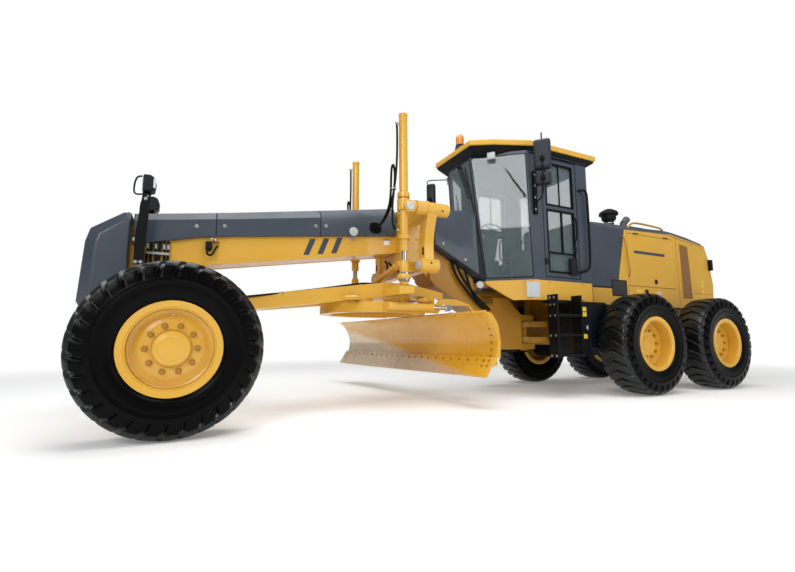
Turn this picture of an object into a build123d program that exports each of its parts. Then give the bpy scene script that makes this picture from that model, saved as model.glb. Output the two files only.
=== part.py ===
"""Six-wheel articulated motor grader, millimetres.

Places are measured from the machine's datum: x forward from the front axle, y to the left of the
centre plane, z up from the ground. MACHINE carries that datum into the part's own frame, whose
origin is the tow hitch's bore at the rear. The blade group has a datum of its own, BLADE, under the
circle's centre and turned with the blade.
"""

import os
from math import cos, pi, radians, sin

from build123d import *

# ---- driving sizes -------------------------------------------------------------------------
WHEELBASE = 6500.0  # front axle to the middle of the tandem
TANDEM_SPACING = 1640.0
TRACK = 2140.0
TYRE_RADIUS = 675.0
TYRE_WIDTH = 444.0
RIM_SEAT_RADIUS = 317.5  # a 25 inch rim
RIM_FLANGE_RADIUS = 367.0

HITCH_X, HITCH_Z = -8560.0, 800.0
HITCH_BORE_RADIUS = 26.0
ARTICULATION_X = -4550.0

BLADE_LENGTH = 3660.0
BLADE_ANGLE = 5.4  # degrees, left end to the rear
BLADE_SIDE_SHIFT = -570.0  # middle of the blade, to the right of the circle's centre
BLADE_X = -2250.0  # datum of the blade group
CIRCLE_X = -2150.0
CIRCLE_RADIUS = 640.0
CIRCLE_WIDTH = 120.0
TOOTH_COUNT = 72
TOOTH_DEPTH = 22.0
TOOTH_WIDTH = 55.0
PINION_RADIUS = 42.0
CIRCLE_BOTTOM, CIRCLE_TOP = 1040.0, 1150.0
DRAWBAR_BALL = (-330.0, 0.0, 1085.0)
BALL_RADIUS = 55.0

CAB_HALF_WIDTH = 750.0
CAB_FRONT_HALF_WIDTH = 354.0
HOOD_HALF_WIDTH = 600.0
BEAM_HALF_WIDTH = 165.0
NOSE_HALF_WIDTH = 270.0

RUNNING_GAP = 10.0  # between pieces that move past each other
PIN_GAP = 0.5  # round a pin in its bore
SEAT_GAP = 0.3  # between pieces that are bolted together

MACHINE = Plane(origin=(-HITCH_X, 0, -HITCH_Z))
BLADE = Plane(
    origin=(BLADE_X - HITCH_X, 0, -HITCH_Z),
    x_dir=(cos(radians(BLADE_ANGLE)), sin(radians(BLADE_ANGLE)), 0),
    z_dir=(0, 0, 1),
)

os.makedirs("parts", exist_ok=True)


# ---- drawing helpers -----------------------------------------------------------------------
def place(point, datum=MACHINE):
    """A datum point in the part's own frame."""
    return datum.from_local_coords(Vector(*point))


def side(y=0.0, datum=MACHINE):
    """Sketch plane that stands along the machine: local x forward, local y up, extrudes to the right."""
    return Plane(origin=place((0, y, 0), datum), x_dir=datum.x_dir, z_dir=-datum.y_dir)


def level(z=0.0, datum=MACHINE):
    """Sketch plane that lies flat: local x forward, local y left, extrudes up."""
    return Plane(origin=place((0, 0, z), datum), x_dir=datum.x_dir, z_dir=datum.z_dir)


def across(x=0.0, datum=MACHINE):
    """Sketch plane across the machine: local x left, local y up, extrudes forward."""
    return Plane(origin=place((x, 0, 0), datum), x_dir=datum.y_dir, z_dir=datum.x_dir)


def prism(plane, outline, depth, mode=Mode.ADD, both=False):
    """Straight-sided outline of (local x, local y) points, extruded off its plane."""
    with BuildSketch(plane, mode=Mode.PRIVATE) as flat:
        with BuildLine():
            Polyline(*outline, close=True)
        make_face()
    extrude(flat.sketch, amount=depth, both=both, mode=mode)


def bar(start, end, radius, datum=MACHINE, mode=Mode.ADD):
    """Round bar between two points."""
    base, tip = place(start, datum), place(end, datum)
    with BuildSketch(Plane(origin=base, z_dir=tip - base), mode=Mode.PRIVATE) as ring:
        Circle(radius)
    extrude(ring.sketch, amount=(tip - base).length, mode=mode)


def block(low, high, datum=MACHINE, mode=Mode.ADD):
    """Square-edged block between two opposite corners."""
    outline = [(low[0], low[1]), (high[0], low[1]), (high[0], high[1]), (low[0], high[1])]
    prism(level(low[2], datum), outline, high[2] - low[2], mode=mode)


def save(node, name):
    """Label a finished piece and write it to its own file."""
    node.part.label = name
    export_step(node.part, f"parts/{name}.step")


# ---- wheels --------------------------------------------------------------------------------
MID_X = -WHEELBASE + TANDEM_SPACING / 2
REAR_X = -WHEELBASE - TANDEM_SPACING / 2
# name, axle x, side (+1 left), place of the wheel disc outboard of the tyre's middle
WHEELS = (
    ("front_left", 0.0, 1, 95.0),
    ("front_right", 0.0, -1, 95.0),
    ("mid_left", MID_X, 1, 30.0),
    ("mid_right", MID_X, -1, 30.0),
    ("rear_left", REAR_X, 1, 30.0),
    ("rear_right", REAR_X, -1, 30.0),
)
HALF_WIDTH = TYRE_WIDTH / 2
RIM_HALF_WIDTH = 205.0
FLANGE_THICKNESS = 15.0
BARREL_THICKNESS = 15.0
DISC_THICKNESS = 18.0
HUB_RADIUS = 150.0

# radius and distance from the tyre's middle, outboard half only
TYRE_HALF = (
    (RIM_SEAT_RADIUS, RIM_HALF_WIDTH - FLANGE_THICKNESS - 15.0),
    (RIM_FLANGE_RADIUS, RIM_HALF_WIDTH - FLANGE_THICKNESS),
    (RIM_FLANGE_RADIUS + 25.0, HALF_WIDTH - 14.0),
    (470.0, HALF_WIDTH),
    (560.0, HALF_WIDTH - 3.0),
    (632.0, HALF_WIDTH - 17.0),
    (TYRE_RADIUS - 8.0, HALF_WIDTH - 52.0),
    (TYRE_RADIUS, HALF_WIDTH - 110.0),
)
RIM_HALF = (
    (RIM_SEAT_RADIUS - BARREL_THICKNESS, RIM_HALF_WIDTH),
    (RIM_FLANGE_RADIUS, RIM_HALF_WIDTH),
    (RIM_FLANGE_RADIUS, RIM_HALF_WIDTH - FLANGE_THICKNESS),
    (RIM_SEAT_RADIUS, RIM_HALF_WIDTH - FLANGE_THICKNESS - 15.0),
)


def both_halves(half):
    """An outboard half-outline and its mirror image inboard."""
    return half + tuple((r, -t) for r, t in reversed(half))


def wheel_plane(x, outboard):
    """Half-section plane of a wheel: local x up from the axle, local y outboard."""
    middle = place((x, outboard * TRACK / 2, TYRE_RADIUS))
    return Plane(origin=middle, x_dir=(0, 0, 1), z_dir=(-outboard, 0, 0))


def turned(plane, outline, mode=Mode.ADD):
    """Outline of (radius, outboard) points turned about the wheel's axle."""
    with BuildSketch(plane, mode=Mode.PRIVATE) as half:
        with BuildLine():
            Polyline(*outline, close=True)
        make_face()
    revolve(half.sketch, axis=Axis(plane.origin, (0, 1, 0)), mode=mode)


for name, x, outboard, disc in WHEELS:
    section = wheel_plane(x, outboard)
    with BuildPart() as tyre:
        turned(section, both_halves(TYRE_HALF))
    save(tyre, f"tyre_{name}")

    inner = RIM_SEAT_RADIUS - BARREL_THICKNESS
    with BuildPart() as rim:
        turned(section, both_halves(RIM_HALF))
        turned(
            section,
            (
                (0.0, disc),
                (0.0, disc + 75.0),
                (HUB_RADIUS - 60.0, disc + 75.0),
                (HUB_RADIUS - 45.0, disc + 30.0),
                (HUB_RADIUS + 25.0, disc + 26.0),
                (HUB_RADIUS + 35.0, disc + DISC_THICKNESS),
                (inner + 2.0, disc + DISC_THICKNESS - 12.0),
                (inner + 2.0, disc - 12.0),
                (HUB_RADIUS, disc),
            ),
        )
    save(rim, f"rim_{name}")

# ---- tandem axle ---------------------------------------------------------------------------
TANDEM_INNER, TANDEM_OUTER = 600.0, 815.0
CASE_END_RADIUS = 225.0
AXLE_Z = TYRE_RADIUS
REAR_RAIL_INNER, REAR_RAIL_OUTER = 260.0, 380.0
REAR_RAIL_BOTTOM, REAR_RAIL_TOP = 960.0, 1240.0
SPINDLE_RADIUS = 95.0

with BuildPart() as tandem_drive:
    bar((-WHEELBASE, -TANDEM_INNER, AXLE_Z + 40), (-WHEELBASE, TANDEM_INNER, AXLE_Z + 40), 170)
    with BuildSketch(side(TANDEM_OUTER)):
        with Locations((-WHEELBASE, AXLE_Z)):
            SlotCenterToCenter(TANDEM_SPACING, 2 * CASE_END_RADIUS)
    extrude(amount=TANDEM_OUTER - TANDEM_INNER)
    with BuildSketch(side(-TANDEM_INNER)):
        with Locations((-WHEELBASE, AXLE_Z)):
            SlotCenterToCenter(TANDEM_SPACING, 2 * CASE_END_RADIUS)
    extrude(amount=TANDEM_OUTER - TANDEM_INNER)
    for name, x, outboard, disc in WHEELS[2:]:
        flange = TRACK / 2 + disc - SEAT_GAP
        bar((x, outboard * (TANDEM_OUTER - 20), AXLE_Z), (x, outboard * flange, AXLE_Z), SPINDLE_RADIUS)
    # differential housing and the saddles under the rails
    bar((-WHEELBASE, -190, AXLE_Z + 40), (-WHEELBASE, 190, AXLE_Z + 40), 250)
    for y in (-REAR_RAIL_OUTER, REAR_RAIL_INNER):
        low = (-WHEELBASE - 210, y, AXLE_Z + 100)
        high = (-WHEELBASE + 210, y + REAR_RAIL_OUTER - REAR_RAIL_INNER, REAR_RAIL_BOTTOM - SEAT_GAP)
        block(low, high)
save(tandem_drive, "tandem_drive")

# ---- rear frame ----------------------------------------------------------------------------
FRAME_REAR_X = -8300.0
CAB_SEAT_Z = 1440.0  # underside of the cab base's top plate
SKIRT_PLATE = 20.0
FORK_HALF_WIDTH = 230.0
# articulation ears, bottom and top of each: the front frame's pair lies outside the rear frame's
FRONT_EARS = ((600.0, 680.0), (1000.0, 1080.0))
REAR_EARS = ((690.0, 770.0), (910.0, 990.0))
EAR_RADIUS = 150.0
PIN_RADIUS = 50.0
FORK_ROOT_X = -4860.0

with BuildPart() as rear_frame:
    for y in (REAR_RAIL_OUTER, -REAR_RAIL_INNER):
        outline = (
            (FORK_ROOT_X - 60, REAR_RAIL_TOP),
            (FORK_ROOT_X - 60, 660),
            (FORK_ROOT_X - 240, 660),
            (FORK_ROOT_X - 520, REAR_RAIL_BOTTOM),
            (FRAME_REAR_X, REAR_RAIL_BOTTOM),
            (FRAME_REAR_X, REAR_RAIL_TOP),
        )
        prism(side(y), outline, REAR_RAIL_OUTER - REAR_RAIL_INNER)
    # front box and the ears of the articulation
    block((FORK_ROOT_X - 240, -REAR_RAIL_INNER - 20, 660), (FORK_ROOT_X - 60, REAR_RAIL_INNER + 20, 1020))
    for low, high in REAR_EARS:
        with BuildSketch(level(low)):
            with BuildLine():
                Polyline(
                    (FORK_ROOT_X - 100, -FORK_HALF_WIDTH),
                    (FORK_ROOT_X + 80, -FORK_HALF_WIDTH),
                    (ARTICULATION_X, -EAR_RADIUS),
                    (ARTICULATION_X, EAR_RADIUS),
                    (FORK_ROOT_X + 80, FORK_HALF_WIDTH),
                    (FORK_ROOT_X - 100, FORK_HALF_WIDTH),
                    close=True,
                )
            make_face()
            with Locations((ARTICULATION_X, 0)):
                Circle(EAR_RADIUS)
        extrude(amount=high - low)
    bar((ARTICULATION_X, 0, FRONT_EARS[0][0] - 20), (ARTICULATION_X, 0, FRONT_EARS[1][1] + 20), PIN_RADIUS)
    # cab support: legs up from the rails and a sill under each side of the cab
    for y in (-1, 1):
        inner, outer = sorted((y * REAR_RAIL_INNER, y * REAR_RAIL_OUTER))
        block((-5120, inner, REAR_RAIL_TOP - 5), (-4930, outer, CAB_SEAT_Z - SEAT_GAP))
        inner, outer = sorted((y * 370, y * 640))
        block((-5080, inner, 1150), (-4960, outer, 1230))
        inner, outer = sorted((y * 560, y * 640))
        block((-5080, inner, 1150), (-4960, outer, CAB_SEAT_Z - SEAT_GAP))
    # cross-members between the rails, the tail plate and the hitch
    for x in (-5900, -7150, FRAME_REAR_X):
        block((x, -REAR_RAIL_INNER - 10, 1000), (x + 120, REAR_RAIL_INNER + 10, 1200))
    block((FRAME_REAR_X - 40, -560, 900), (FRAME_REAR_X, 560, REAR_RAIL_TOP - 40))
    hitch_plate = (HITCH_X - 60, -70), (FRAME_REAR_X - 20, -130), (FRAME_REAR_X - 20, 130), (HITCH_X - 60, 70)
    block((FRAME_REAR_X - 40, -130, HITCH_Z - 90), (FRAME_REAR_X, 130, 905))
    for low in (HITCH_Z - 70, HITCH_Z + 35):
        prism(level(low), hitch_plate, 35)
    bar((HITCH_X, 0, HITCH_Z - 80), (HITCH_X, 0, HITCH_Z + 80), HITCH_BORE_RADIUS, mode=Mode.SUBTRACT)
save(rear_frame, "rear_frame")

# ---- engine, hood and cowl -----------------------------------------------------------------
HOOD_WALL = 30.0
HOOD_FRONT_X = -6090.0
HOOD_BOTTOM_Z = REAR_RAIL_TOP + SEAT_GAP
HOOD_SKIRT_Z = 1500.0  # top of the hood's low front part under the cowl
HOOD_SLANT_X = -5865.0  # foot of the slanted joint with the cowl
COWL_FRONT_X = -5180.0
HOOD_OUTLINE = (
    (COWL_FRONT_X, HOOD_BOTTOM_Z),
    (COWL_FRONT_X, HOOD_SKIRT_Z),
    (HOOD_SLANT_X, HOOD_SKIRT_Z),
    (HOOD_FRONT_X, 2420),
    (-7250, 2457),
    (-8190, 2343),
    (-8280, 2120),
    (-8370, 1660),
    (-8340, 1430),
    (-8250, HOOD_BOTTOM_Z),
)
HOOD_INSIDE = (
    (COWL_FRONT_X - HOOD_WALL, HOOD_BOTTOM_Z - 10),
    (COWL_FRONT_X - HOOD_WALL, HOOD_SKIRT_Z - HOOD_WALL),
    (HOOD_SLANT_X - 40, HOOD_SKIRT_Z - HOOD_WALL),
    (HOOD_FRONT_X - 40, 2390),
    (-7250, 2427),
    (-8170, 2315),
    (-8250, 2112),
    (-8338, 1660),
    (-8308, 1440),
    (-8215, HOOD_BOTTOM_Z - 10),
)
ENGINE_DOOR = ((-7300.0, 1540.0), (-6150.0, 2370.0))  # lower rear and upper front corners
DOOR_GAP = 8.0
EXHAUST_RADIUS = 60.0
REAR_GRILLE = ((-480.0, 1400.0), (480.0, 2100.0))  # y and z of its opposite corners

with BuildPart() as engine_block:
    block((-7450, -330, REAR_RAIL_TOP + SEAT_GAP), (-6250, 330, 2080))
save(engine_block, "engine_block")

with BuildPart() as engine_hood:
    prism(side(HOOD_HALF_WIDTH), HOOD_OUTLINE, 2 * HOOD_HALF_WIDTH)
    chamfer(engine_hood.edges().filter_by(Axis.X).group_by(Axis.Z)[-1], 20)
    inner_half = HOOD_HALF_WIDTH - HOOD_WALL
    prism(side(inner_half), HOOD_INSIDE, 2 * inner_half, mode=Mode.SUBTRACT)
    (x0, z0), (x1, z1) = ENGINE_DOOR
    block((x0, -HOOD_HALF_WIDTH - 10, z0), (x1, HOOD_HALF_WIDTH + 10, z1), mode=Mode.SUBTRACT)
    (y0, z0), (y1, z1) = REAR_GRILLE
    block((-8400, y0, z0), (-8200, y1, z1), mode=Mode.SUBTRACT)
    bar((-6420, 0, 2300), (-6420, 0, 2500), EXHAUST_RADIUS + PIN_GAP, mode=Mode.SUBTRACT)
save(engine_hood, "engine_hood")

with BuildPart() as engine_door_left:
    (x0, z0), (x1, z1) = ENGINE_DOOR
    y = HOOD_HALF_WIDTH
    block((x0 + DOOR_GAP, y - HOOD_WALL, z0 + DOOR_GAP), (x1 - DOOR_GAP, y, z1 - DOOR_GAP))
    for x in (x0 + 200, x1 - 200):
        block((x - 40, y - 5, z1 - 40), (x + 40, y + 5, z1 - 2))
        bar((x - 40, y + 5, z1 - 2), (x + 40, y + 5, z1 - 2), 4.7)
save(engine_door_left, "engine_door_left")
with BuildPart() as engine_door_right:
    mirror(engine_door_left.part, about=Plane.XZ)
save(engine_door_right, "engine_door_right")

with BuildPart() as hood_cowl:
    outline = (
        (COWL_FRONT_X, HOOD_SKIRT_Z + SEAT_GAP),
        (COWL_FRONT_X, 2330),
        (-5360, 2415),
        (HOOD_FRONT_X + SEAT_GAP, 2420),
        (HOOD_SLANT_X + SEAT_GAP, HOOD_SKIRT_Z + SEAT_GAP),
    )
    prism(side(HOOD_HALF_WIDTH), outline, 2 * HOOD_HALF_WIDTH)
save(hood_cowl, "hood_cowl")

with BuildPart() as rear_grille:
    (y0, z0), (y1, z1) = REAR_GRILLE
    outline = (
        (-8333, z0 + DOOR_GAP),
        (-8366, 1660),
        (-8282, z1 - DOOR_GAP),
        (-8254, z1 - DOOR_GAP),
        (-8336, 1660),
        (-8303, z0 + DOOR_GAP),
    )
    prism(side(y1 - DOOR_GAP), outline, y1 - y0 - 2 * DOOR_GAP)
    block((-8374, y1 - 30, 1640), (-8355, y1 - 4, 1680))
    bar((-8372, y1 - 4, 1640), (-8372, y1 - 4, 1680), 4)
save(rear_grille, "rear_grille")

with BuildPart() as intake_and_exhaust:
    bar((-6000, 0, 2420 + SEAT_GAP), (-6000, 0, 2580), 70)
    bar((-6000, 0, 2580), (-6000, 0, 2720), 120)
    bar((-6000, 0, 2720), (-6000, 0, 2800), 95)
    bar((-6420, 0, 2300), (-6420, 0, 2640), EXHAUST_RADIUS)
    bar((-6420, 0, 2640), (-6520, 0, 2720), 60)
save(intake_and_exhaust, "intake_and_exhaust")

# ---- cab -----------------------------------------------------------------------------------
CAB_FRONT_X = -3614.0  # at the floor; the windscreen leans forward from here
CAB_TOP_FRONT_X = -3464.0
CAB_TOP_FRONT_HALF_WIDTH = 274.0
CAB_CORNER_X = -4085.0
CAB_REAR_X = -5140.0
CAB_FLOOR_Z = 1500.0
SKIRT_BOTTOM_Z = 1240.0
SILL_Z = 1555.0
WINDOW_TOP_Z = 3165.0
ROOF_Z = 3230.0
ROOF_TOP_Z = 3410.0
ROOF_HALF_WIDTH = CAB_HALF_WIDTH + 40
CAB_WALL = 50.0
CAB_FRAME = 32.0  # metal left round each pane
GLASS = 12.0
PANE_DEPTH = 26.0  # from the outside to the middle of a pane
DOOR_X = (-4920.0, -4280.0)
DOOR_Z = (1545.0, 3190.0)


def cab_front(z):
    """X, half width and rear corner x of the angled front at a height."""
    share = (z - CAB_FLOOR_Z) / (ROOF_Z - CAB_FLOOR_Z)
    x = CAB_FRONT_X + share * (CAB_TOP_FRONT_X - CAB_FRONT_X)
    half = CAB_FRONT_HALF_WIDTH + share * (CAB_TOP_FRONT_HALF_WIDTH - CAB_FRONT_HALF_WIDTH)
    slant = (CAB_CORNER_X - CAB_FRONT_X) / (CAB_HALF_WIDTH - CAB_FRONT_HALF_WIDTH)
    return x, half, x + slant * (CAB_HALF_WIDTH - half)


def cab_plan(inset, z):
    """Six-sided plan of the cab at a height, drawn in from its outside by a wall."""
    x, half, corner = cab_front(z)
    run, rise = x - corner, CAB_HALF_WIDTH - half
    slope = (run**2 + rise**2) ** 0.5
    front = half - inset * (1 - rise / slope) * slope / run
    back = corner - inset * (1 - run / slope) * slope / rise
    left = ((x - inset, front), (back, CAB_HALF_WIDTH - inset), (CAB_REAR_X + inset, CAB_HALF_WIDTH - inset))
    return left + tuple((x, -y) for x, y in reversed(left))


def cab_body(inset, low, high, mode=Mode.ADD):
    """The cab's leaning six-sided body between two heights."""
    ends = []
    for z in (low, high):
        with BuildSketch(level(z), mode=Mode.PRIVATE) as plan:
            with BuildLine():
                Polyline(*cab_plan(inset, z), close=True)
            make_face()
        ends.append(plan.sketch)
    loft(ends, ruled=True, mode=mode)


def cab_pane(side_sign, margin, depth, inward, mode=Mode.ADD):
    """A front pane from sill to window top: side_sign 0 is the windscreen, 1 and -1 the angled ones."""
    edges = []
    for z in (SILL_Z + margin, WINDOW_TOP_Z - margin):
        x, half, corner = cab_front(z)
        first = (x, half * side_sign) if side_sign else (x, -half)
        last = (corner, CAB_HALF_WIDTH * side_sign) if side_sign else (x, half)
        edges.append((place((*first, z)), place((*last, z))))
    (low_near, low_far), (high_near, high_far) = edges
    along = (low_far - low_near).normalized()
    outward = along.cross(high_near - low_near).normalized()
    if outward.X < 0:
        outward = -outward
    frame = Plane(origin=low_near - outward * inward, x_dir=along, z_dir=outward)
    trim = along * (CAB_FRAME + margin)
    corners = (low_near + trim, low_far - trim, high_far - trim, high_near + trim)
    local = [frame.to_local_coords(corner - outward * inward) for corner in corners]
    prism(frame, [(point.X, point.Y) for point in local], depth, mode=mode, both=True)


with BuildPart() as cab_base:
    with BuildSketch(level(SKIRT_BOTTOM_Z)):
        with BuildLine():
            Polyline(*cab_plan(0, CAB_FLOOR_Z), close=True)
        make_face()
    extrude(amount=CAB_FLOOR_Z - SEAT_GAP - SKIRT_BOTTOM_Z)
    hollow_depth = CAB_SEAT_Z - SKIRT_BOTTOM_Z + 10
    prism(level(SKIRT_BOTTOM_Z - 10), cab_plan(SKIRT_PLATE, CAB_FLOOR_Z), hollow_depth, mode=Mode.SUBTRACT)
    prism(level(CAB_SEAT_Z - 10), cab_plan(160, CAB_FLOOR_Z), 100, mode=Mode.SUBTRACT)
    # slanted front edge of the skirt, and its open rear
    cut = ((-3600, 1475), (-3880, SKIRT_BOTTOM_Z - 1), (-3880, 1200), (-3500, 1200), (-3500, 1475))
    prism(side(CAB_HALF_WIDTH + 10), cut, 2 * CAB_HALF_WIDTH + 20, mode=Mode.SUBTRACT)
    block((CAB_REAR_X - 20, -720, 1200), (CAB_REAR_X + 40, 720, CAB_SEAT_Z), mode=Mode.SUBTRACT)
save(cab_base, "cab_base")

with BuildPart() as cab_shell:
    cab_body(0, CAB_FLOOR_Z, ROOF_Z)
    cab_body(CAB_WALL, CAB_FLOOR_Z + 40, ROOF_Z + 20, mode=Mode.SUBTRACT)
    for side_sign in (0, 1, -1):
        cab_pane(side_sign, 0, 60, 30, mode=Mode.SUBTRACT)
    # rear window and door openings
    block((CAB_REAR_X - 10, -600, SILL_Z + 150), (CAB_REAR_X + 100, 600, 3120), mode=Mode.SUBTRACT)
    low, high = (DOOR_X[0], -CAB_HALF_WIDTH - 10, DOOR_Z[0]), (DOOR_X[1], CAB_HALF_WIDTH + 10, DOOR_Z[1])
    block(low, high, mode=Mode.SUBTRACT)
save(cab_shell, "cab_shell")

with BuildPart() as cab_glass:
    for side_sign in (0, 1, -1):
        cab_pane(side_sign, SEAT_GAP, GLASS / 2, PANE_DEPTH)
    pane_x = CAB_REAR_X + 20
    half, bottom, top = 600 - SEAT_GAP, SILL_Z + 150 + SEAT_GAP, 3120 - SEAT_GAP
    block((pane_x, -half, bottom), (pane_x + GLASS, half, top))
save(cab_glass, "cab_glass")

ROOF_LAYERS = (  # bottom height, thickness and how far it is drawn in: soffit, fascia and cap
    (ROOF_Z + SEAT_GAP, 60.0, 55.0),
    (ROOF_Z + 60.0, 75.0, 0.0),
    (ROOF_Z + 134.0, ROOF_TOP_Z - ROOF_Z - 134.0, 60.0),
)
with BuildPart() as cab_roof:
    for low, thick, inset in ROOF_LAYERS:
        side_y = ROOF_HALF_WIDTH - inset
        left = ((-3350 - inset, 430 - inset / 2), (-3620 - inset / 2, 600 - inset))
        left += ((-4100, side_y), (-5315 + inset, side_y))
        prism(level(low), left + tuple((x, -y) for x, y in reversed(left)), thick)
save(cab_roof, "cab_roof")

with BuildPart() as cab_door_left:
    y = CAB_HALF_WIDTH
    x0, x1 = DOOR_X[0] + DOOR_GAP, DOOR_X[1] - DOOR_GAP
    z0, z1 = DOOR_Z[0] + DOOR_GAP, DOOR_Z[1] - DOOR_GAP
    block((x0, y - CAB_WALL, z0), (x1, y, z1))
    block((x0 + 60, y - 80, z0 + 70), (x1 - 60, y + 10, 2230), mode=Mode.SUBTRACT)
    block((x0 + 60, y - 80, 2290), (x1 - 60, y + 10, z1 - 60), mode=Mode.SUBTRACT)
    for z in (1750, 2900):
        bar((x1 + 3.7, y - 2, z - 50), (x1 + 3.7, y - 2, z + 50), 4)
save(cab_door_left, "cab_door_left")
with BuildPart() as cab_door_right:
    mirror(cab_door_left.part, about=Plane.XZ)
save(cab_door_right, "cab_door_right")

with BuildPart() as door_glass_left:
    for low, high in ((z0 + 70, 2230), (2290, z1 - 60)):
        first = (x0 + 60 + SEAT_GAP, y - 30, low + SEAT_GAP)
        block(first, (x1 - 60 - SEAT_GAP, y - 30 + GLASS, high - SEAT_GAP))
save(door_glass_left, "door_glass_left")
with BuildPart() as door_glass_right:
    mirror(door_glass_left.part, about=Plane.XZ)
save(door_glass_right, "door_glass_right")

with BuildPart() as operator_seat:
    block((-4780, -180, CAB_FLOOR_Z + 40), (-4500, 180, 1720))
    block((-4860, -250, 1720), (-4340, 250, 1850))
    prism(side(240), ((-4860, 1850), (-4740, 1850), (-4840, 2450), (-4940, 2450)), 480)
save(operator_seat, "operator_seat")

with BuildPart() as steering_console:
    floor = CAB_FLOOR_Z + 40
    prism(side(110), ((-3740, floor), (-3920, floor), (-4060, 2180), (-3900, 2230)), 220)
    with BuildSketch(Plane(origin=place((-4060, 0, 2290)), z_dir=(-0.5, 0, 1))):
        Circle(190)
        Circle(160, mode=Mode.SUBTRACT)
        Rectangle(340, 30)
    extrude(amount=24)
    bar((-3990, 0, 2180), (-4065, 0, 2300), 25)
save(steering_console, "steering_console")

with BuildPart() as mirrors:
    # left pair on a standing rod, right one on an arm
    rod_y = CAB_HALF_WIDTH + 200
    bar((-4110, rod_y, 2600), (-4110, rod_y, 3400), 10)
    bar((-4110, CAB_HALF_WIDTH + SEAT_GAP, 2640), (-4110, rod_y, 2640), 12)
    block((-4150, rod_y - 90, 2700), (-4080, rod_y + 70, 2900))
    block((-4150, rod_y - 100, 2940), (-4080, rod_y + 80, 3320))
    block((-3720, -570, 3190), (-3660, -510, ROOF_Z))
    bar((-3690, -540, 3205), (-3690, -990, 3205), 10)
    bar((-3690, -980, 2900), (-3690, -980, 3205), 10)
    block((-3720, -1070, 2860), (-3650, -890, 3180))
save(mirrors, "mirrors")

with BuildPart() as cab_lamps:
    bar((-3700, 0, ROOF_TOP_Z), (-3700, 0, ROOF_TOP_Z + 60), 70)
    bar((-3700, 0, ROOF_TOP_Z + 55), (-3700, 0, ROOF_TOP_Z + 200), 60)
    for s in (1, -1):
        block((-3450, s * 300 - 60, ROOF_Z - 110), (-3410, s * 300 + 60, ROOF_Z))
        block((-5290, s * 560 - 60, ROOF_Z - 120), (-5220, s * 560 + 60, ROOF_Z))
save(cab_lamps, "cab_lamps")

# ---- steps and side boxes ------------------------------------------------------------------
with BuildPart() as access_steps:
    for s in (1, -1):
        y0, y1 = sorted((s * (CAB_HALF_WIDTH + 50), s * (CAB_HALF_WIDTH + 200)))
        for x in (-4250, -4670):
            block((x - 15, y0, 500), (x + 15, y1, 1300))
        for z in (520, 770, 1020):
            block((-4670, y0, z), (-4250, y1, z + 25))
        y0, y1 = sorted((s * (CAB_HALF_WIDTH - 38), s * (CAB_HALF_WIDTH + 80)))
        block((-4680, y0, 1200), (-4240, y1, SKIRT_BOTTOM_Z))
save(access_steps, "access_steps")

with BuildPart() as side_boxes:
    for s in (1, -1):
        y0, y1 = sorted((s * (REAR_RAIL_OUTER + SEAT_GAP), s * 820))
        block((-4955, y0, 540), (-4725, y1, SKIRT_BOTTOM_Z - 5))
save(side_boxes, "side_boxes")

# ---- front frame ---------------------------------------------------------------------------
BOLSTER_HALF_WIDTH = 160.0
AXLE_PIVOT_Z = 800.0
NECK_HALF_WIDTH = 200.0

# side outlines of the beam and of the wider gooseneck behind it
BEAM_OUTLINE = (
    (420, 1400),
    (-2370, 1800),
    (-2620, 1740),
    (-2930, 1420),
    (-3780, 980),
    (-3950, 890),
    (-3950, 1225),
    (-3705, 1225),
    (-3640, 1312),
    (-3545, 1405),
    (-3515, 1560),
    (-2850, 2060),
    (-2600, 2170),
    (420, 1830),
)
NECK_OUTLINE = (
    (-2850, 1502),
    (-2930, 1420),
    (-3780, 980),
    (-3950, 890),
    (-3950, 1210),
    (-3710, 1210),
    (-3640, 1297),
    (-3545, 1390),
    (-3515, 1540),
    (-2850, 1900),
)

with BuildPart() as front_frame:
    # beam and gooseneck
    prism(side(BEAM_HALF_WIDTH), BEAM_OUTLINE, 2 * BEAM_HALF_WIDTH)
    prism(side(NECK_HALF_WIDTH), NECK_OUTLINE, 2 * NECK_HALF_WIDTH)
    # box behind the neck and the ears of the articulation
    low = FRONT_EARS[0][0]
    rear_box = ((-3850, low), (-4330, low), (-4330, 1080), (-4100, 1300), (-3850, 1300))
    prism(side(NECK_HALF_WIDTH), rear_box, 2 * NECK_HALF_WIDTH)
    for low, high in FRONT_EARS:
        with BuildSketch(level(low)):
            with BuildLine():
                Polyline(
                    (-4300, -NECK_HALF_WIDTH),
                    (ARTICULATION_X, -EAR_RADIUS),
                    (ARTICULATION_X, EAR_RADIUS),
                    (-4300, NECK_HALF_WIDTH),
                    close=True,
                )
            make_face()
            with Locations((ARTICULATION_X, 0)):
                Circle(EAR_RADIUS)
                Circle(PIN_RADIUS + PIN_GAP, mode=Mode.SUBTRACT)
        extrude(amount=high - low)
    # bolster that carries the front axle and the drawbar's ball
    bolster = ((-230, 1500), (-230, 1030), (230, 1030), (230, 1440))
    prism(side(BOLSTER_HALF_WIDTH), bolster, 2 * BOLSTER_HALF_WIDTH)
    for x in (-230, 150):
        block((x, -100, AXLE_PIVOT_Z - 90), (x + 80, 100, 1040))
    bar((-235, 0, AXLE_PIVOT_Z), (235, 0, AXLE_PIVOT_Z), 60 + PIN_GAP, mode=Mode.SUBTRACT)
    # stud and seat of the drawbar's ball behind the bolster
    bar((-225, 0, DRAWBAR_BALL[2]), (DRAWBAR_BALL[0] + BALL_RADIUS + SEAT_GAP, 0, DRAWBAR_BALL[2]), 45)
save(front_frame, "front_frame")

# cover over the beam, from a front to a rear section: x, half width, bottom, fold and top heights
COVER_SECTIONS = ((400.0, 205.0, 1640.0, 1905.0, 2000.0), (-2370.0, 205.0, 1955.0, 2270.0, 2360.0))


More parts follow.
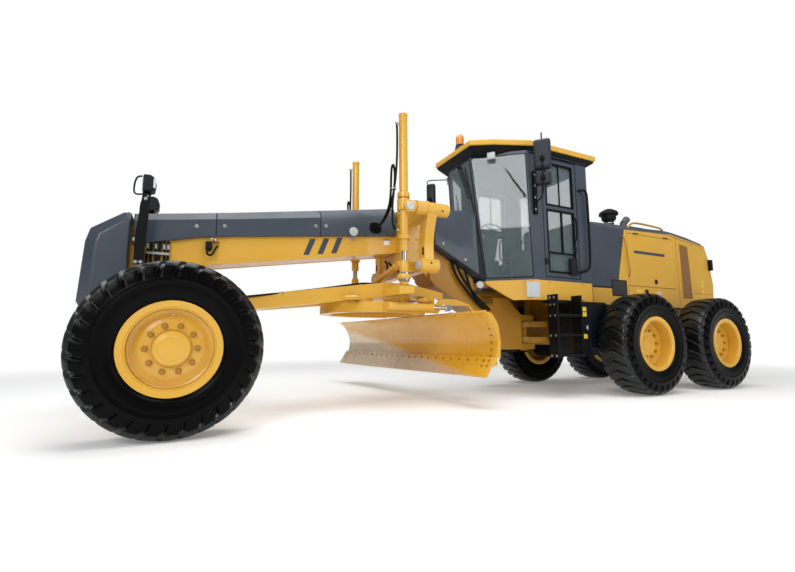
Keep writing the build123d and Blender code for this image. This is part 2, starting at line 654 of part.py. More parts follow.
def cover_section(half, bottom, fold, crown):
    """Six-sided section with bevelled upper edges."""
    left = ((half - 60, crown), (half, fold), (half, bottom))
    return left + tuple((-y, z) for y, z in reversed(left))


with BuildPart() as frame_covers:
    for x, half, bottom, fold, crown in COVER_SECTIONS:
        with BuildSketch(across(x)):
            with BuildLine():
                Polyline(*cover_section(half, bottom, fold, crown), close=True)
            make_face()
    loft()
    # neck cover in front of the cab
    neck_cover = ((-2850, 1930), (-3470, 1610), (-3470, 2400), (-3330, 2440), (-2850, 2360))
    prism(side(330), neck_cover, 660)
    for half, outline in ((BEAM_HALF_WIDTH, BEAM_OUTLINE), (NECK_HALF_WIDTH, NECK_OUTLINE)):
        prism(side(half + SEAT_GAP), outline, 2 * (half + SEAT_GAP), mode=Mode.SUBTRACT)
save(frame_covers, "frame_covers")

with BuildPart() as nose_cover:
    seam_x = 420 + SEAT_GAP
    outline = (
        (seam_x, 1380),
        (seam_x, 1925),
        (500, 1905),
        (722, 1690),
        (805, 1080),
        (780, 1005),
        (640, 1005),
    )
    prism(side(NOSE_HALF_WIDTH), outline, 2 * NOSE_HALF_WIDTH)
save(nose_cover, "nose_cover")

with BuildPart() as headlight_posts:
    for s in (1, -1):
        y0, y1 = sorted((s * (NOSE_HALF_WIDTH + SEAT_GAP), s * 360))
        block((430, y0, 1430), (500, y1, 1490))
        bar((490, s * 340, 1460), (330, s * 340, 1460), 20)
        bar((340, s * 345, 1450), (290, s * 345, 2100), 22)
        block((215, s * 345 - 75, 2095), (335, s * 345 + 75, 2270))
save(headlight_posts, "headlight_posts")

# ---- blade lift saddle on the beam ---------------------------------------------------------
SADDLE_X = (-2680.0, -2400.0)
LIFT_X = -2200.0
LIFT_Y = 750.0
TRUNNION_Z = 2220.0
LOWER_HUB_Z = 1580.0
LIFT_BALL_Z = 1370.0
LIFT_ROD_RADIUS = 30.0
SHIFT_X = -2290.0  # centre-shift cylinder, across the machine
SHIFT_ROD_RADIUS = 20.0

with BuildPart() as lift_saddle:
    block((SADDLE_X[0], -270, 1610), (SADDLE_X[1], 270, 2330))
    slot_half = BEAM_HALF_WIDTH + SEAT_GAP
    prism(side(slot_half), BEAM_OUTLINE, 2 * slot_half, mode=Mode.SUBTRACT)
    for s in (1, -1):
        y0, y1 = sorted((s * 250, s * 680))
        block((-2620, y0, 2140), (-2480, y1, 2290))
        y0, y1 = sorted((s * 200, s * 640))
        block((-2600, y0, 1520), (-2480, y1, 1640))
        bar((-2340, s * LIFT_Y, TRUNNION_Z), (-2760, s * LIFT_Y, TRUNNION_Z), 78)
        bar((-2440, s * 650, LOWER_HUB_Z), (-2660, s * 650, LOWER_HUB_Z), 85)
        with BuildSketch(across(-2610)):
            with BuildLine():
                ThreePointArc((s * LIFT_Y, TRUNNION_Z), (s * 640, 1900), (s * 650, LOWER_HUB_Z))
                offset(amount=70, kind=Kind.ARC)
            make_face()
        extrude(amount=120)
        y, z = s * LIFT_Y, TRUNNION_Z
        bar((-2330, y, z), (-2500, y, z), 40 + PIN_GAP, mode=Mode.SUBTRACT)
    block((-2600, -640, 1520), (-2480, 640, 1640))
    # ear for the centre-shift cylinder
    block((-2400, 400, 1530), (-2336, 500, 1660))
    block((-2500, 400, 1530), (-2336, 500, 1640))
    bar((-2410, 450, 1600), (-2320, 450, 1600), 20 + PIN_GAP, mode=Mode.SUBTRACT)
save(lift_saddle, "lift_saddle")

# ---- front axle ----------------------------------------------------------------------------
LEAN_Y = 620.0
LEAN_Z = 560.0
LEAN_BAR_X, LEAN_BAR_Z = 75.0, 965.0
LEAN_PIN_RADIUS = 32.0
KINGPIN_Y = 820.0
KINGPIN_RADIUS = 30.0
AXLE_END = 95.0  # from the lean pin in to the end of the axle's beam
STEER_ARM_X = -160.0  # steering arm behind the kingpin
STEER_ARM_Z = 700.0
STEER_ROD_Z = 655.0
STEER_ROD_END = 700.0

with BuildPart() as front_axle:
    end = LEAN_Y - AXLE_END
    outline = (
        (-end, 480),
        (-end, 640),
        (-300, 860),
        (300, 860),
        (end, 640),
        (end, 480),
        (300, 650),
        (-300, 650),
    )
    prism(across(-105), outline, 210)
    for s in (1, -1):
        for x in (-105, 55):
            with BuildSketch(across(x)):
                with BuildLine():
                    y = s * LEAN_Y
                    inner = s * (end - 10)
                    Polyline((inner, 480), (y, 485), (y, 635), (inner, 640), close=True)
                make_face()
                with Locations((y, LEAN_Z)):
                    Circle(75)
            extrude(amount=50)
        bar((-125, s * LEAN_Y, LEAN_Z), (125, s * LEAN_Y, LEAN_Z), LEAN_PIN_RADIUS)
    block((-140, -95, AXLE_PIVOT_Z - 90), (140, 95, AXLE_PIVOT_Z + 90))
    bar((-225, 0, AXLE_PIVOT_Z), (225, 0, AXLE_PIVOT_Z), 60)
    # steering cylinder behind the beam, bored through for its double-ended rod
    for y in (-230, 180):
        block((STEER_ARM_X, y, STEER_ROD_Z - 20), (-100, y + 50, STEER_ROD_Z + 30))
    bar((STEER_ARM_X, -290, STEER_ROD_Z), (STEER_ARM_X, 290, STEER_ROD_Z), 40)
    bar((STEER_ARM_X, -300, STEER_ROD_Z), (STEER_ARM_X, 300, STEER_ROD_Z), 18 + PIN_GAP, mode=Mode.SUBTRACT)
save(front_axle, "front_axle")

with BuildPart() as lean_yoke_left:
    # stands on the lean pin between the axle's cheeks, holds the kingpin and the lean bar's pin
    block((-45, LEAN_Y - 40, LEAN_Z), (45, LEAN_Y + 40, LEAN_BAR_Z + 35))
    block((-45, LEAN_Y, LEAN_Z - 50), (45, LEAN_Y + 100, LEAN_Z + 50))
    block((-45, LEAN_Y + 30, 500), (45, LEAN_Y + 100, 860))
    bar((-45, LEAN_Y, LEAN_Z), (45, LEAN_Y, LEAN_Z), 75)
    bar((-55, LEAN_Y, LEAN_Z), (55, LEAN_Y, LEAN_Z), LEAN_PIN_RADIUS + PIN_GAP, mode=Mode.SUBTRACT)
    for z in (500, 800):
        block((-45, LEAN_Y + 90, z), (45, KINGPIN_Y, z + 60))
        bar((0, KINGPIN_Y, z), (0, KINGPIN_Y, z + 60), 50)
    bar((0, KINGPIN_Y, 490), (0, KINGPIN_Y, 870), KINGPIN_RADIUS)
    bar((0, LEAN_Y, LEAN_BAR_Z), (LEAN_BAR_X + 30, LEAN_Y, LEAN_BAR_Z), 20)
save(lean_yoke_left, "lean_yoke_left")
with BuildPart() as lean_yoke_right:
    mirror(lean_yoke_left.part, about=Plane.XZ)
save(lean_yoke_right, "lean_yoke_right")

with BuildPart() as knuckle_left:
    # upright between the yoke's ears, spindle to the wheel, arm back to the tie rod
    bar((0, KINGPIN_Y, 560 + RUNNING_GAP), (0, KINGPIN_Y, 800 - RUNNING_GAP), 62)
    front_disc = TRACK / 2 + WHEELS[0][3] - SEAT_GAP
    bar((0, KINGPIN_Y, AXLE_Z), (0, front_disc, AXLE_Z), 80)
    inner, outer = KINGPIN_Y - 30, KINGPIN_Y + 30
    arm = ((0, outer), (0, inner), (STEER_ARM_X, inner + 4), (STEER_ARM_X, outer - 4))
    prism(level(STEER_ARM_Z), arm, 35)
    bar((STEER_ARM_X, KINGPIN_Y, STEER_ARM_Z - 57), (STEER_ARM_X, KINGPIN_Y, STEER_ARM_Z + 35), 26)
    bar((0, KINGPIN_Y, 550), (0, KINGPIN_Y, 810), KINGPIN_RADIUS + PIN_GAP, mode=Mode.SUBTRACT)
save(knuckle_left, "knuckle_left")
with BuildPart() as knuckle_right:
    mirror(knuckle_left.part, about=Plane.XZ)
save(knuckle_right, "knuckle_right")

with BuildPart() as lean_bar:
    bar((LEAN_BAR_X, -LEAN_Y, LEAN_BAR_Z), (LEAN_BAR_X, LEAN_Y, LEAN_BAR_Z), 20)
    for s in (1, -1):
        bar((LEAN_BAR_X - 22, s * LEAN_Y, LEAN_BAR_Z), (LEAN_BAR_X + 22, s * LEAN_Y, LEAN_BAR_Z), 36)
    for s in (1, -1):
        bar((0, s * LEAN_Y, LEAN_BAR_Z), (150, s * LEAN_Y, LEAN_BAR_Z), 20 + PIN_GAP, mode=Mode.SUBTRACT)
save(lean_bar, "lean_bar")

with BuildPart() as steering_rod:
    bar((STEER_ARM_X, -STEER_ROD_END, STEER_ROD_Z), (STEER_ARM_X, STEER_ROD_END, STEER_ROD_Z), 18)
    for s in (1, -1):
        near, far = s * (STEER_ROD_END - 70), s * STEER_ROD_END
        bar((STEER_ARM_X, near, STEER_ROD_Z), (STEER_ARM_X, far, STEER_ROD_Z), 27)
save(steering_rod, "steering_rod")

# ---- drawbar -------------------------------------------------------------------------------
BALL_X = DRAWBAR_BALL[0]
BALL_Z = DRAWBAR_BALL[2]

with BuildPart() as drawbar_ball:
    bar((BALL_X, 0, BALL_Z - 75), (BALL_X, 0, BALL_Z + 75), BALL_RADIUS)
    bar((BALL_X, -110, BALL_Z), (BALL_X, 110, BALL_Z), 30)
save(drawbar_ball, "drawbar_ball")

with BuildPart() as drawbar:
    left = (
        (BALL_X + 40, 75),
        (BALL_X + 40, 130),
        (BALL_X - 140, 150),
        (-2050, 520),
        (-2110, 820),
        (-2290, 820),
        (-2350, 520),
        (-2900, 420),
        (-2900, 0),
        (BALL_X - 140, 0),
        (BALL_X - 140, 75),
    )
    prism(level(1000), left, 500)
    window = ((BALL_X - 500, 0), (BALL_X - 500, 50), (-1940, 340), (-1940, 0))
    prism(level(990), window, 520, mode=Mode.SUBTRACT)
    window = ((-2440, 0), (-2440, 330), (-2840, 290), (-2840, 0))
    prism(level(990), window, 520, mode=Mode.SUBTRACT)
    mirror(about=Plane.XZ)
    profile = (
        (BALL_X + 60, 1025),
        (BALL_X + 60, 1155),
        (-2050, 1372),
        (-2400, 1372),
        (-2900, 1300),
        (-2900, 1240),
        (-2300, 1240),
        (-650, 1050),
    )
    prism(side(900), profile, 1800, mode=Mode.INTERSECT)
    bar((BALL_X, -115, BALL_Z), (BALL_X, 115, BALL_Z), 30 + PIN_GAP, mode=Mode.SUBTRACT)
    block((-2500, 560, 1310), (-1900, 900, 1450), mode=Mode.SUBTRACT)
    block((-2500, -900, 1310), (-1900, -560, 1450), mode=Mode.SUBTRACT)
    for s in (1, -1):
        bar((LIFT_X, s * LIFT_Y, 1300), (LIFT_X, s * LIFT_Y, 1330), 35)
        bar((LIFT_X, s * LIFT_Y, 1325), (LIFT_X, s * LIFT_Y, 1355), 50)
        # shoes that hold the circle
        low_y, high_y = sorted((s * 330, s * 470))
        for x in (-2750, -1950):
            block((x, low_y, CIRCLE_TOP + SEAT_GAP), (x + 160, high_y, 1245))
    # circle turning motor
    bar((-2600, 0, CIRCLE_TOP + 10), (-2600, 0, 1405), 60)
    bar((-2600, 0, CIRCLE_TOP - TOOTH_WIDTH), (-2600, 0, CIRCLE_TOP + 12), PINION_RADIUS)
    block((-2880, -120, 1250), (-2380, 120, 1310))
    # ear for the centre-shift rod
    block((SHIFT_X - 40, -580, 1300), (SHIFT_X + 40, -520, 1390))
save(drawbar, "drawbar")

# ---- circle, carrier and blade -------------------------------------------------------------
CHEEK_V = 600.0
CHEEK_THICKNESS = 40.0
TILT_U, TILT_W = -890.0, 520.0
TILT_CYLINDER_V, TILT_CYLINDER_W = 680.0, 1100.0
TILT_ROD_RADIUS = 25.0
with BuildPart() as circle:
    with BuildSketch(level(CIRCLE_BOTTOM)):
        with Locations((CIRCLE_X, 0)):
            Circle(CIRCLE_RADIUS)
            Circle(CIRCLE_RADIUS - CIRCLE_WIDTH, mode=Mode.SUBTRACT)
    extrude(amount=CIRCLE_TOP - CIRCLE_BOTTOM)
    # internal gear: straight-sided teeth on the circle's inner edge
    root = CIRCLE_RADIUS - CIRCLE_WIDTH
    half_pitch = pi * root / TOOTH_COUNT / 2
    tooth = (
        (root + 2, -1.5 * half_pitch),
        (root + 2, 1.5 * half_pitch),
        (root - TOOTH_DEPTH, 0.45 * half_pitch),
        (root - TOOTH_DEPTH, -0.45 * half_pitch),
    )
    with BuildSketch(level(CIRCLE_TOP - TOOTH_WIDTH)):
        with Locations((CIRCLE_X, 0)):
            with PolarLocations(0, TOOTH_COUNT):
                Polygon(*tooth, align=None)
    extrude(amount=TOOTH_WIDTH)
    cheek = (
        (300, CIRCLE_BOTTOM),
        (300, CIRCLE_TOP - 2),
        (-420, CIRCLE_TOP - 2),
        (-470, 1215),
        (-700, 1215),
        (-900, 1165),
        (-1060, 1020),
        (-1160, 800),
        (-1160, 560),
        (-1060, 440),
        (-830, 440),
        (-830, 590),
        (-1000, 660),
        (-1090, 750),
        (-1080, 950),
        (-930, 1100),
        (-880, 1145),
        (-500, 1145),
        (-430, CIRCLE_BOTTOM),
    )
    for v in (CHEEK_V + CHEEK_THICKNESS / 2, -CHEEK_V + CHEEK_THICKNESS / 2):
        prism(side(v, BLADE), cheek, CHEEK_THICKNESS)
    for s in (1, -1):
        near, far = s * (CHEEK_V - 20), s * (CHEEK_V + 100)
        bar((270, near, TILT_CYLINDER_W), (270, far, TILT_CYLINDER_W), 30, BLADE)
    barrel_v, barrel_w = TILT_CYLINDER_V, TILT_CYLINDER_W
    bar((300, barrel_v, barrel_w), (-300, barrel_v, barrel_w), 42, BLADE)
    bore = TILT_ROD_RADIUS + PIN_GAP
    bar((170, barrel_v, barrel_w), (-310, barrel_v, barrel_w), bore, BLADE, Mode.SUBTRACT)
    bar((TILT_U, -CHEEK_V - 40, TILT_W), (TILT_U, CHEEK_V + 40, TILT_W), 40 + PIN_GAP, BLADE, Mode.SUBTRACT)
save(circle, "circle")

with BuildPart() as blade_carrier:
    plate = (
        (-1000, 430),
        (-765, 430),
        (-765, 560),
        (-850, 610),
        (-850, 800),
        (-765, 850),
        (-765, 1000),
        (-700, 1065),
        (-900, 1065),
        (-1000, 940),
    )
    for v in (530, -470):
        prism(side(v, BLADE), plate, 60)
    bar((TILT_U, -CHEEK_V - 30, TILT_W), (TILT_U, CHEEK_V + 30, TILT_W), 40, BLADE)
    bar((TILT_U, -CHEEK_V + 40, TILT_W), (TILT_U, CHEEK_V - 40, TILT_W), 55, BLADE)
    bar((-870, -620, 730), (-870, 800, 730), 48, BLADE)
    for w in (480, 930):
        block((-805, -700, w - 30), (-700, 700, w + 30), BLADE, Mode.SUBTRACT)
    bar((-870, -630, 730), (-870, 780, 730), 25 + PIN_GAP, BLADE, Mode.SUBTRACT)
save(blade_carrier, "blade_carrier")

BLADE_V = (BLADE_SIDE_SHIFT - BLADE_LENGTH / 2, BLADE_SIDE_SHIFT + BLADE_LENGTH / 2)
BLADE_THICKNESS = 25.0
FACE_TOP, FACE_MIDDLE, FACE_FOOT = (-550.0, 1030.0), (-730.0, 720.0), (-700.0, 540.0)
EDGE_DIRECTION = Vector(0.536, -0.844)
EDGE_NORMAL = Vector(0.844, 0.536)


def foot(down, out):
    """Point on the blade's foot: down along the cutting edge and out from the face."""
    point = Vector(*FACE_FOOT) + EDGE_DIRECTION * down + EDGE_NORMAL * out
    return (point.X, point.Y)


with BuildPart() as moldboard:
    with BuildSketch(side(BLADE_V[1], BLADE)):
        with BuildLine():
            ThreePointArc(FACE_TOP, FACE_MIDDLE, FACE_FOOT)
            Line(FACE_FOOT, foot(95, 0))
            Line(foot(95, 0), foot(95, -BLADE_THICKNESS))
            Line(foot(95, -BLADE_THICKNESS), foot(-5, -BLADE_THICKNESS))
            ThreePointArc(foot(-5, -BLADE_THICKNESS), (-755, 720), (-569, 1047))
            Line((-569, 1047), FACE_TOP)
        make_face()
    extrude(amount=BLADE_LENGTH)
    middle = BLADE_SIDE_SHIFT
    block((-800, middle - 1750, 455), (-690, middle + 1750, 505), BLADE)
    block((-800, middle - 1750, 905), (-672, middle + 1750, 955), BLADE)
    block((-900, -2170, 690), (-740, -2120, 770), BLADE)
    bar((-870, -2130, 730), (-870, -460, 730), 25, BLADE)
save(moldboard, "moldboard")

with BuildPart() as cutting_edge:
    outline = (foot(0, SEAT_GAP), foot(243, SEAT_GAP), foot(243, 22), foot(0, 22))
    prism(side(BLADE_V[1], BLADE), outline, BLADE_LENGTH)
save(cutting_edge, "cutting_edge")

with BuildPart() as tilt_rod:
    v, w = TILT_CYLINDER_V, TILT_CYLINDER_W
    bar((25, v, w), (-520, v, w), TILT_ROD_RADIUS, BLADE)
    bar((-520, v - 30, w), (-520, v + 30, w), 38, BLADE)
save(tilt_rod, "tilt_rod")

# ---- blade lift and centre-shift cylinders -------------------------------------------------
with BuildPart() as lift_barrel_left:
    bar((LIFT_X, LIFT_Y, 1700), (LIFT_X, LIFT_Y, 3290), 48)
    bar((LIFT_X, LIFT_Y, TRUNNION_Z - 60), (LIFT_X, LIFT_Y, TRUNNION_Z + 60), 72)
    bar((LIFT_X - 40, LIFT_Y, TRUNNION_Z), (LIFT_X - 135, LIFT_Y, TRUNNION_Z), 70)
    bar((LIFT_X - 100, LIFT_Y, TRUNNION_Z), (LIFT_X - 290, LIFT_Y, TRUNNION_Z), 40)
    bar((LIFT_X, LIFT_Y, 1690), (LIFT_X, LIFT_Y, 3200), LIFT_ROD_RADIUS + PIN_GAP, mode=Mode.SUBTRACT)
save(lift_barrel_left, "lift_barrel_left")
with BuildPart() as lift_barrel_right:
    mirror(lift_barrel_left.part, about=Plane.XZ)
save(lift_barrel_right, "lift_barrel_right")

with BuildPart() as lift_rod_left:
    bar((LIFT_X, LIFT_Y, 1450), (LIFT_X, LIFT_Y, 2450), LIFT_ROD_RADIUS)
    bar((LIFT_X, LIFT_Y, LIFT_BALL_Z - 5), (LIFT_X, LIFT_Y, 1460), 60)
save(lift_rod_left, "lift_rod_left")
with BuildPart() as lift_rod_right:
    mirror(lift_rod_left.part, about=Plane.XZ)
save(lift_rod_right, "lift_rod_right")

SHIFT_TOP = Vector(SHIFT_X, 450.0, 1600.0)
SHIFT_FOOT = Vector(SHIFT_X, -550.0, 1440.0)
SHIFT_ALONG = (SHIFT_FOOT - SHIFT_TOP).normalized()
SHIFT_LENGTH = (SHIFT_FOOT - SHIFT_TOP).length


def along_shift(distance):
    """Point on the centre-shift cylinder's axis, measured from its upper pin."""
    return tuple(SHIFT_TOP + SHIFT_ALONG * distance)


with BuildPart() as shift_barrel:
    bar((SHIFT_X - 35, SHIFT_TOP.Y, SHIFT_TOP.Z), (SHIFT_X + 35, SHIFT_TOP.Y, SHIFT_TOP.Z), 45)
    bar((SHIFT_X - 110, SHIFT_TOP.Y, SHIFT_TOP.Z), (SHIFT_X, SHIFT_TOP.Y, SHIFT_TOP.Z), 20)
    bar(along_shift(0), along_shift(660), 40)
    bar(along_shift(48), along_shift(670), SHIFT_ROD_RADIUS + PIN_GAP, mode=Mode.SUBTRACT)
save(shift_barrel, "shift_barrel")
with BuildPart() as shift_rod:
    bar(along_shift(345), along_shift(SHIFT_LENGTH), SHIFT_ROD_RADIUS)
    bar((SHIFT_X - 25, SHIFT_FOOT.Y, SHIFT_FOOT.Z), (SHIFT_X + 25, SHIFT_FOOT.Y, SHIFT_FOOT.Z), 32)
save(shift_rod, "shift_rod")
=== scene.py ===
import math
import random

import bmesh
import bpy
from mathutils import Matrix, Vector


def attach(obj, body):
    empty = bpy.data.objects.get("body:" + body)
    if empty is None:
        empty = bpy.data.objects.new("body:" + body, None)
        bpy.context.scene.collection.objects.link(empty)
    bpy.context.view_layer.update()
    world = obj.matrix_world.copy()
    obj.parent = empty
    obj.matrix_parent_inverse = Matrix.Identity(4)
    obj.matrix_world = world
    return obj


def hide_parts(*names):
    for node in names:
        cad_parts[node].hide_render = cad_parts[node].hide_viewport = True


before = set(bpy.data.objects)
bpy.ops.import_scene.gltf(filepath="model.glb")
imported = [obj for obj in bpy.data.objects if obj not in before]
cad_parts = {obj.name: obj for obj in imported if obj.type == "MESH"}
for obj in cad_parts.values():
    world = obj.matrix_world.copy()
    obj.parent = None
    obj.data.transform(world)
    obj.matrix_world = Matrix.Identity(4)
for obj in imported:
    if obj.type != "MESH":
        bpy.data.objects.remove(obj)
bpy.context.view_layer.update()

# Places are given in metres from the front axle's middle on the ground: x forward, y left, z up.
AXLE_ORIGIN = Vector((8.56, 0.0, -0.8))
FLOOR_Z = AXLE_ORIGIN.z
SIDES = ((1, "left"), (-1, "right"))
FRONT, REAR = "front_unit", "rear_unit"


def at(x, y, z):
    return Vector((x, y, z)) + AXLE_ORIGIN


# ---- shells: each is (points, faces), closed, in the row frame ----
def prism(axis, outline, low, high):
    """A flat outline pushed along x, y or z. The outline's pairs are the other two directions."""
    order = {"x": (2, 0, 1), "y": (0, 2, 1), "z": (0, 1, 2)}[axis]
    count = len(outline)
    points = [at(*((a, b, end)[i] for i in order)) for end in (low, high) for a, b in outline]
    faces = [tuple(range(count)), tuple(range(count, 2 * count))]
    faces += [(i, (i + 1) % count, count + (i + 1) % count, count + i) for i in range(count)]
    return points, faces


def oblong(a, b, c, d):
    """The four corners of a rectangle between (a, b) and (c, d)."""
    return (a, b), (c, b), (c, d), (a, d)


def block(low, high):
    return prism("z", oblong(*low[:2], *high[:2]), low[2], high[2])


def across(direction):
    """Two unit vectors square to a direction."""
    direction = Vector(direction).normalized()
    first = direction.cross(Vector((0, 0, 1)))
    if first.length < 0.1:
        first = direction.cross(Vector((0, 1, 0)))
    first.normalize()
    return first, direction.cross(first).normalized()


def turned(profile, centre, direction, steps):
    """A profile of (distance along, radius) pairs turned about an axis, with closed ends."""
    direction = Vector(direction).normalized()
    first, second = across(direction)
    centre = at(*centre)
    points, faces, rows = [], [], []
    for along, radius in profile:
        if radius < 1e-6:
            rows.append([len(points)])
            points.append(centre + direction * along)
            continue
        rows.append(list(range(len(points), len(points) + steps)))
        for k in range(steps):
            angle = 2 * math.pi * k / steps
            points.append(centre + direction * along
                + (first * math.cos(angle) + second * math.sin(angle)) * radius)
    for low, high in zip(rows, rows[1:]):
        for k in range(steps):
            a, b = low[k % len(low)], low[(k + 1) % steps % len(low)]
            c, d = high[(k + 1) % steps % len(high)], high[k % len(high)]
            face = tuple(dict.fromkeys((a, b, c, d)))
            if len(face) > 2:
                faces.append(face)
    for end in (rows[0], rows[-1]):
        if len(end) > 1 and rows[0] != rows[-1]:
            faces.append(tuple(end))
    return points, faces


def rod(start, end, radius, steps=20):
    along = Vector(end) - Vector(start)
    return turned(((0, radius), (along.length, radius)), start, along, steps)


def ring(profile, centre, direction, steps):
    """A closed profile of (distance along, radius) pairs turned about an axis into a ring."""
    points, faces = turned(tuple(profile) + (profile[0],), centre, direction, steps)
    count = len(profile)
    keep = points[: count * steps]
    return keep, [tuple(i % (count * steps) for i in face) for face in faces if len(face) == 4]


def layered(levels):
    """A closed shell through a row of level outlines with the same number of points."""
    count = len(levels[0])
    points = [at(*p) for level_points in levels for p in level_points]
    faces = [tuple(range(count)), tuple(range(count * (len(levels) - 1), count * len(levels)))]
    for row in range(len(levels) - 1):
        base = row * count
        faces += [(base + i, base + (i + 1) % count, base + count + (i + 1) % count, base + count + i)
            for i in range(count)]
    return points, faces


def leaning(origin, direction):
    """A placing for shells: local x runs along direction, local z as near to upright as it can."""
    x = Vector(direction).normalized()
    y = Vector((0, 0, 1)).cross(x).normalized()
    z = x.cross(y)
    turn = Matrix((x, y, z)).transposed().to_4x4()
    return Matrix.Translation(at(*origin)) @ turn @ Matrix.Translation(-AXLE_ORIGIN)


def moved(shell, matrix):
    return [matrix @ Vector(p) for p in shell[0]], shell[1]


def upright(y, outline):
    """An (x, z) outline as places at one y."""
    return [Vector((x, y, z)) for x, z in outline]


def on_side(side, places):
    """Places given for the left side, taken to the side that is asked for."""
    return [(x, side * y, z) for x, y, z in places]


def plate(side, y, outline, low, high):
    """A flat outline that lies between two distances out from the face at y."""
    return prism("y", outline, y + side * low, y + side * high)


def mirrored(shells):
    """The same shells on the right side as well."""
    return list(shells) + [([Vector((p[0], -p[1], p[2])) for p in points], faces) for points, faces in shells]


# ---- pieces ----
def linked(name, data):
    thing = bpy.data.objects.new(name, data)
    bpy.context.scene.collection.objects.link(thing)
    return thing


def settle(thing, angle):
    """Outward faces and smooth shading up to an edge angle."""
    mesh = thing.data
    work = bmesh.new()
    work.from_mesh(mesh)
    bmesh.ops.recalc_face_normals(work, faces=work.faces)
    work.to_mesh(mesh)
    work.free()
    mesh.shade_smooth()
    mesh.set_sharp_from_angle(angle=math.radians(angle))


def finish_piece(thing, finish, body, stands_for=()):
    thing.data.materials.clear()
    thing.data.materials.append(FINISHES[finish][0])
    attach(thing, body)
    if stands_for:
        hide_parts(*stands_for)
    return thing


def plain_mesh(thing):
    """A mesh of the thing's shape with its modifiers or curve settings worked in."""
    graph = bpy.context.evaluated_depsgraph_get()
    return bpy.data.meshes.new_from_object(thing.evaluated_get(graph))


def freeze(thing):
    mesh = plain_mesh(thing)
    thing.modifiers.clear()
    thing.data = mesh


def piece(name, shells, finish, body, bevel=0.0, stands_for=(), segments=2, angle=32.0):
    points, faces = [], []
    for shell_points, shell_faces in shells:
        base = len(points)
        points += [tuple(p) for p in shell_points]
        faces += [tuple(base + i for i in face) for face in shell_faces]
    mesh = bpy.data.meshes.new(name)
    mesh.from_pydata(points, [], faces)
    thing = linked(name, mesh)
    settle(thing, angle)
    if bevel:
        edge = thing.modifiers.new("edges", "BEVEL")
        edge.width, edge.segments, edge.limit_method = bevel, segments, "ANGLE"
        edge.angle_limit, edge.harden_normals = math.radians(angle), True
        edge.use_clamp_overlap = True
        freeze(thing)
    return finish_piece(thing, finish, body, stands_for)


def hoses(name, routes, finish, body, sides=4):
    """Hoses and bent bars: each route is (radius, points) along one smooth curve."""
    curve = bpy.data.curves.new(name, "CURVE")
    curve.dimensions, curve.bevel_resolution, curve.resolution_u = "3D", sides, 8
    curve.bevel_depth = 1.0
    curve.use_fill_caps = True
    for radius, places in routes:
        spline = curve.splines.new("NURBS")
        spline.points.add(len(places) - 1)
        for point, place in zip(spline.points, places):
            point.co = (*at(*place), 1.0)
            point.radius = radius
        spline.order_u = min(4, len(places))
        spline.use_endpoint_u = True
    holder = linked(name + "_line", curve)
    mesh = plain_mesh(holder)
    bpy.data.objects.remove(holder)
    thing = linked(name, mesh)
    settle(thing, 60.0)
    return finish_piece(thing, finish, body)


# ---- geometry node trees for what repeats ----
def new_tree(name, inputs):
    tree = bpy.data.node_groups.new(name, "GeometryNodeTree")
    tree.interface.new_socket("Geometry", in_out="INPUT", socket_type="NodeSocketGeometry")
    for label, kind, value in inputs:
        made = tree.interface.new_socket(label, in_out="INPUT", socket_type=kind)
        if value is not None:
            made.default_value = value
    tree.interface.new_socket("Geometry", in_out="OUTPUT", socket_type="NodeSocketGeometry")
    return tree, tree.nodes.new("NodeGroupInput"), tree.nodes.new("NodeGroupOutput")


def node(tree, kind, settings=(), links=()):
    """Adds one node: settings are inputs or .attributes, links are inputs fed by (node, output)."""
    made = tree.nodes.new(kind)
    for key, value in dict(settings).items():
        if isinstance(key, str) and key.startswith("."):
            setattr(made, key[1:], value)
        else:
            made.inputs[key].default_value = value
    for key, (source, output) in dict(links).items():
        tree.links.new(source.outputs[output], made.inputs[key])
    return made


WASHER_WIDTH, WASHER_HEIGHT = 1.45, 0.35  # shares of the bolt head's own


def bolt_tree():
    tree, given, out = new_tree("bolt_heads",
        (("Radius", "NodeSocketFloat", 0.012), ("Height", "NodeSocketFloat", 0.008),
         ("Finish", "NodeSocketMaterial", None)))
    facing = node(tree, "GeometryNodeInputNamedAttribute", {".data_type": "FLOAT_VECTOR", "Name": "facing"})
    turn = node(tree, "FunctionNodeAlignRotationToVector", {".axis": "Z"}, {"Vector": (facing, "Attribute")})
    head = node(tree, "GeometryNodeMeshCylinder", {"Vertices": 6},
        {"Radius": (given, "Radius"), "Depth": (given, "Height")})
    wide = node(tree, "ShaderNodeMath", {".operation": "MULTIPLY", 1: WASHER_WIDTH}, {0: (given, "Radius")})
    thin = node(tree, "ShaderNodeMath", {".operation": "MULTIPLY", 1: WASHER_HEIGHT}, {0: (given, "Height")})
    washer = node(tree, "GeometryNodeMeshCylinder", {"Vertices": 14},
        {"Radius": (wide, 0), "Depth": (thin, 0)})
    lift = node(tree, "ShaderNodeMath", {".operation": "MULTIPLY", 1: 0.5}, {0: (given, "Height")})
    up = node(tree, "ShaderNodeCombineXYZ", {}, {"Z": (lift, 0)})
    raised = node(tree, "GeometryNodeTransform", {}, {"Geometry": (head, "Mesh"), "Translation": (up, 0)})
    both = node(tree, "GeometryNodeJoinGeometry")
    tree.links.new(raised.outputs[0], both.inputs[0])
    tree.links.new(washer.outputs["Mesh"], both.inputs[0])
    spread = node(tree, "GeometryNodeInstanceOnPoints", {},
        {"Points": (given, "Geometry"), "Instance": (both, 0), "Rotation": (turn, "Rotation")})
    real = node(tree, "GeometryNodeRealizeInstances", {}, {"Geometry": (spread, 0)})
    painted = node(tree, "GeometryNodeSetMaterial", {},
        {"Geometry": (real, 0), "Material": (given, "Finish")})
    tree.links.new(painted.outputs[0], out.inputs[0])
    return tree


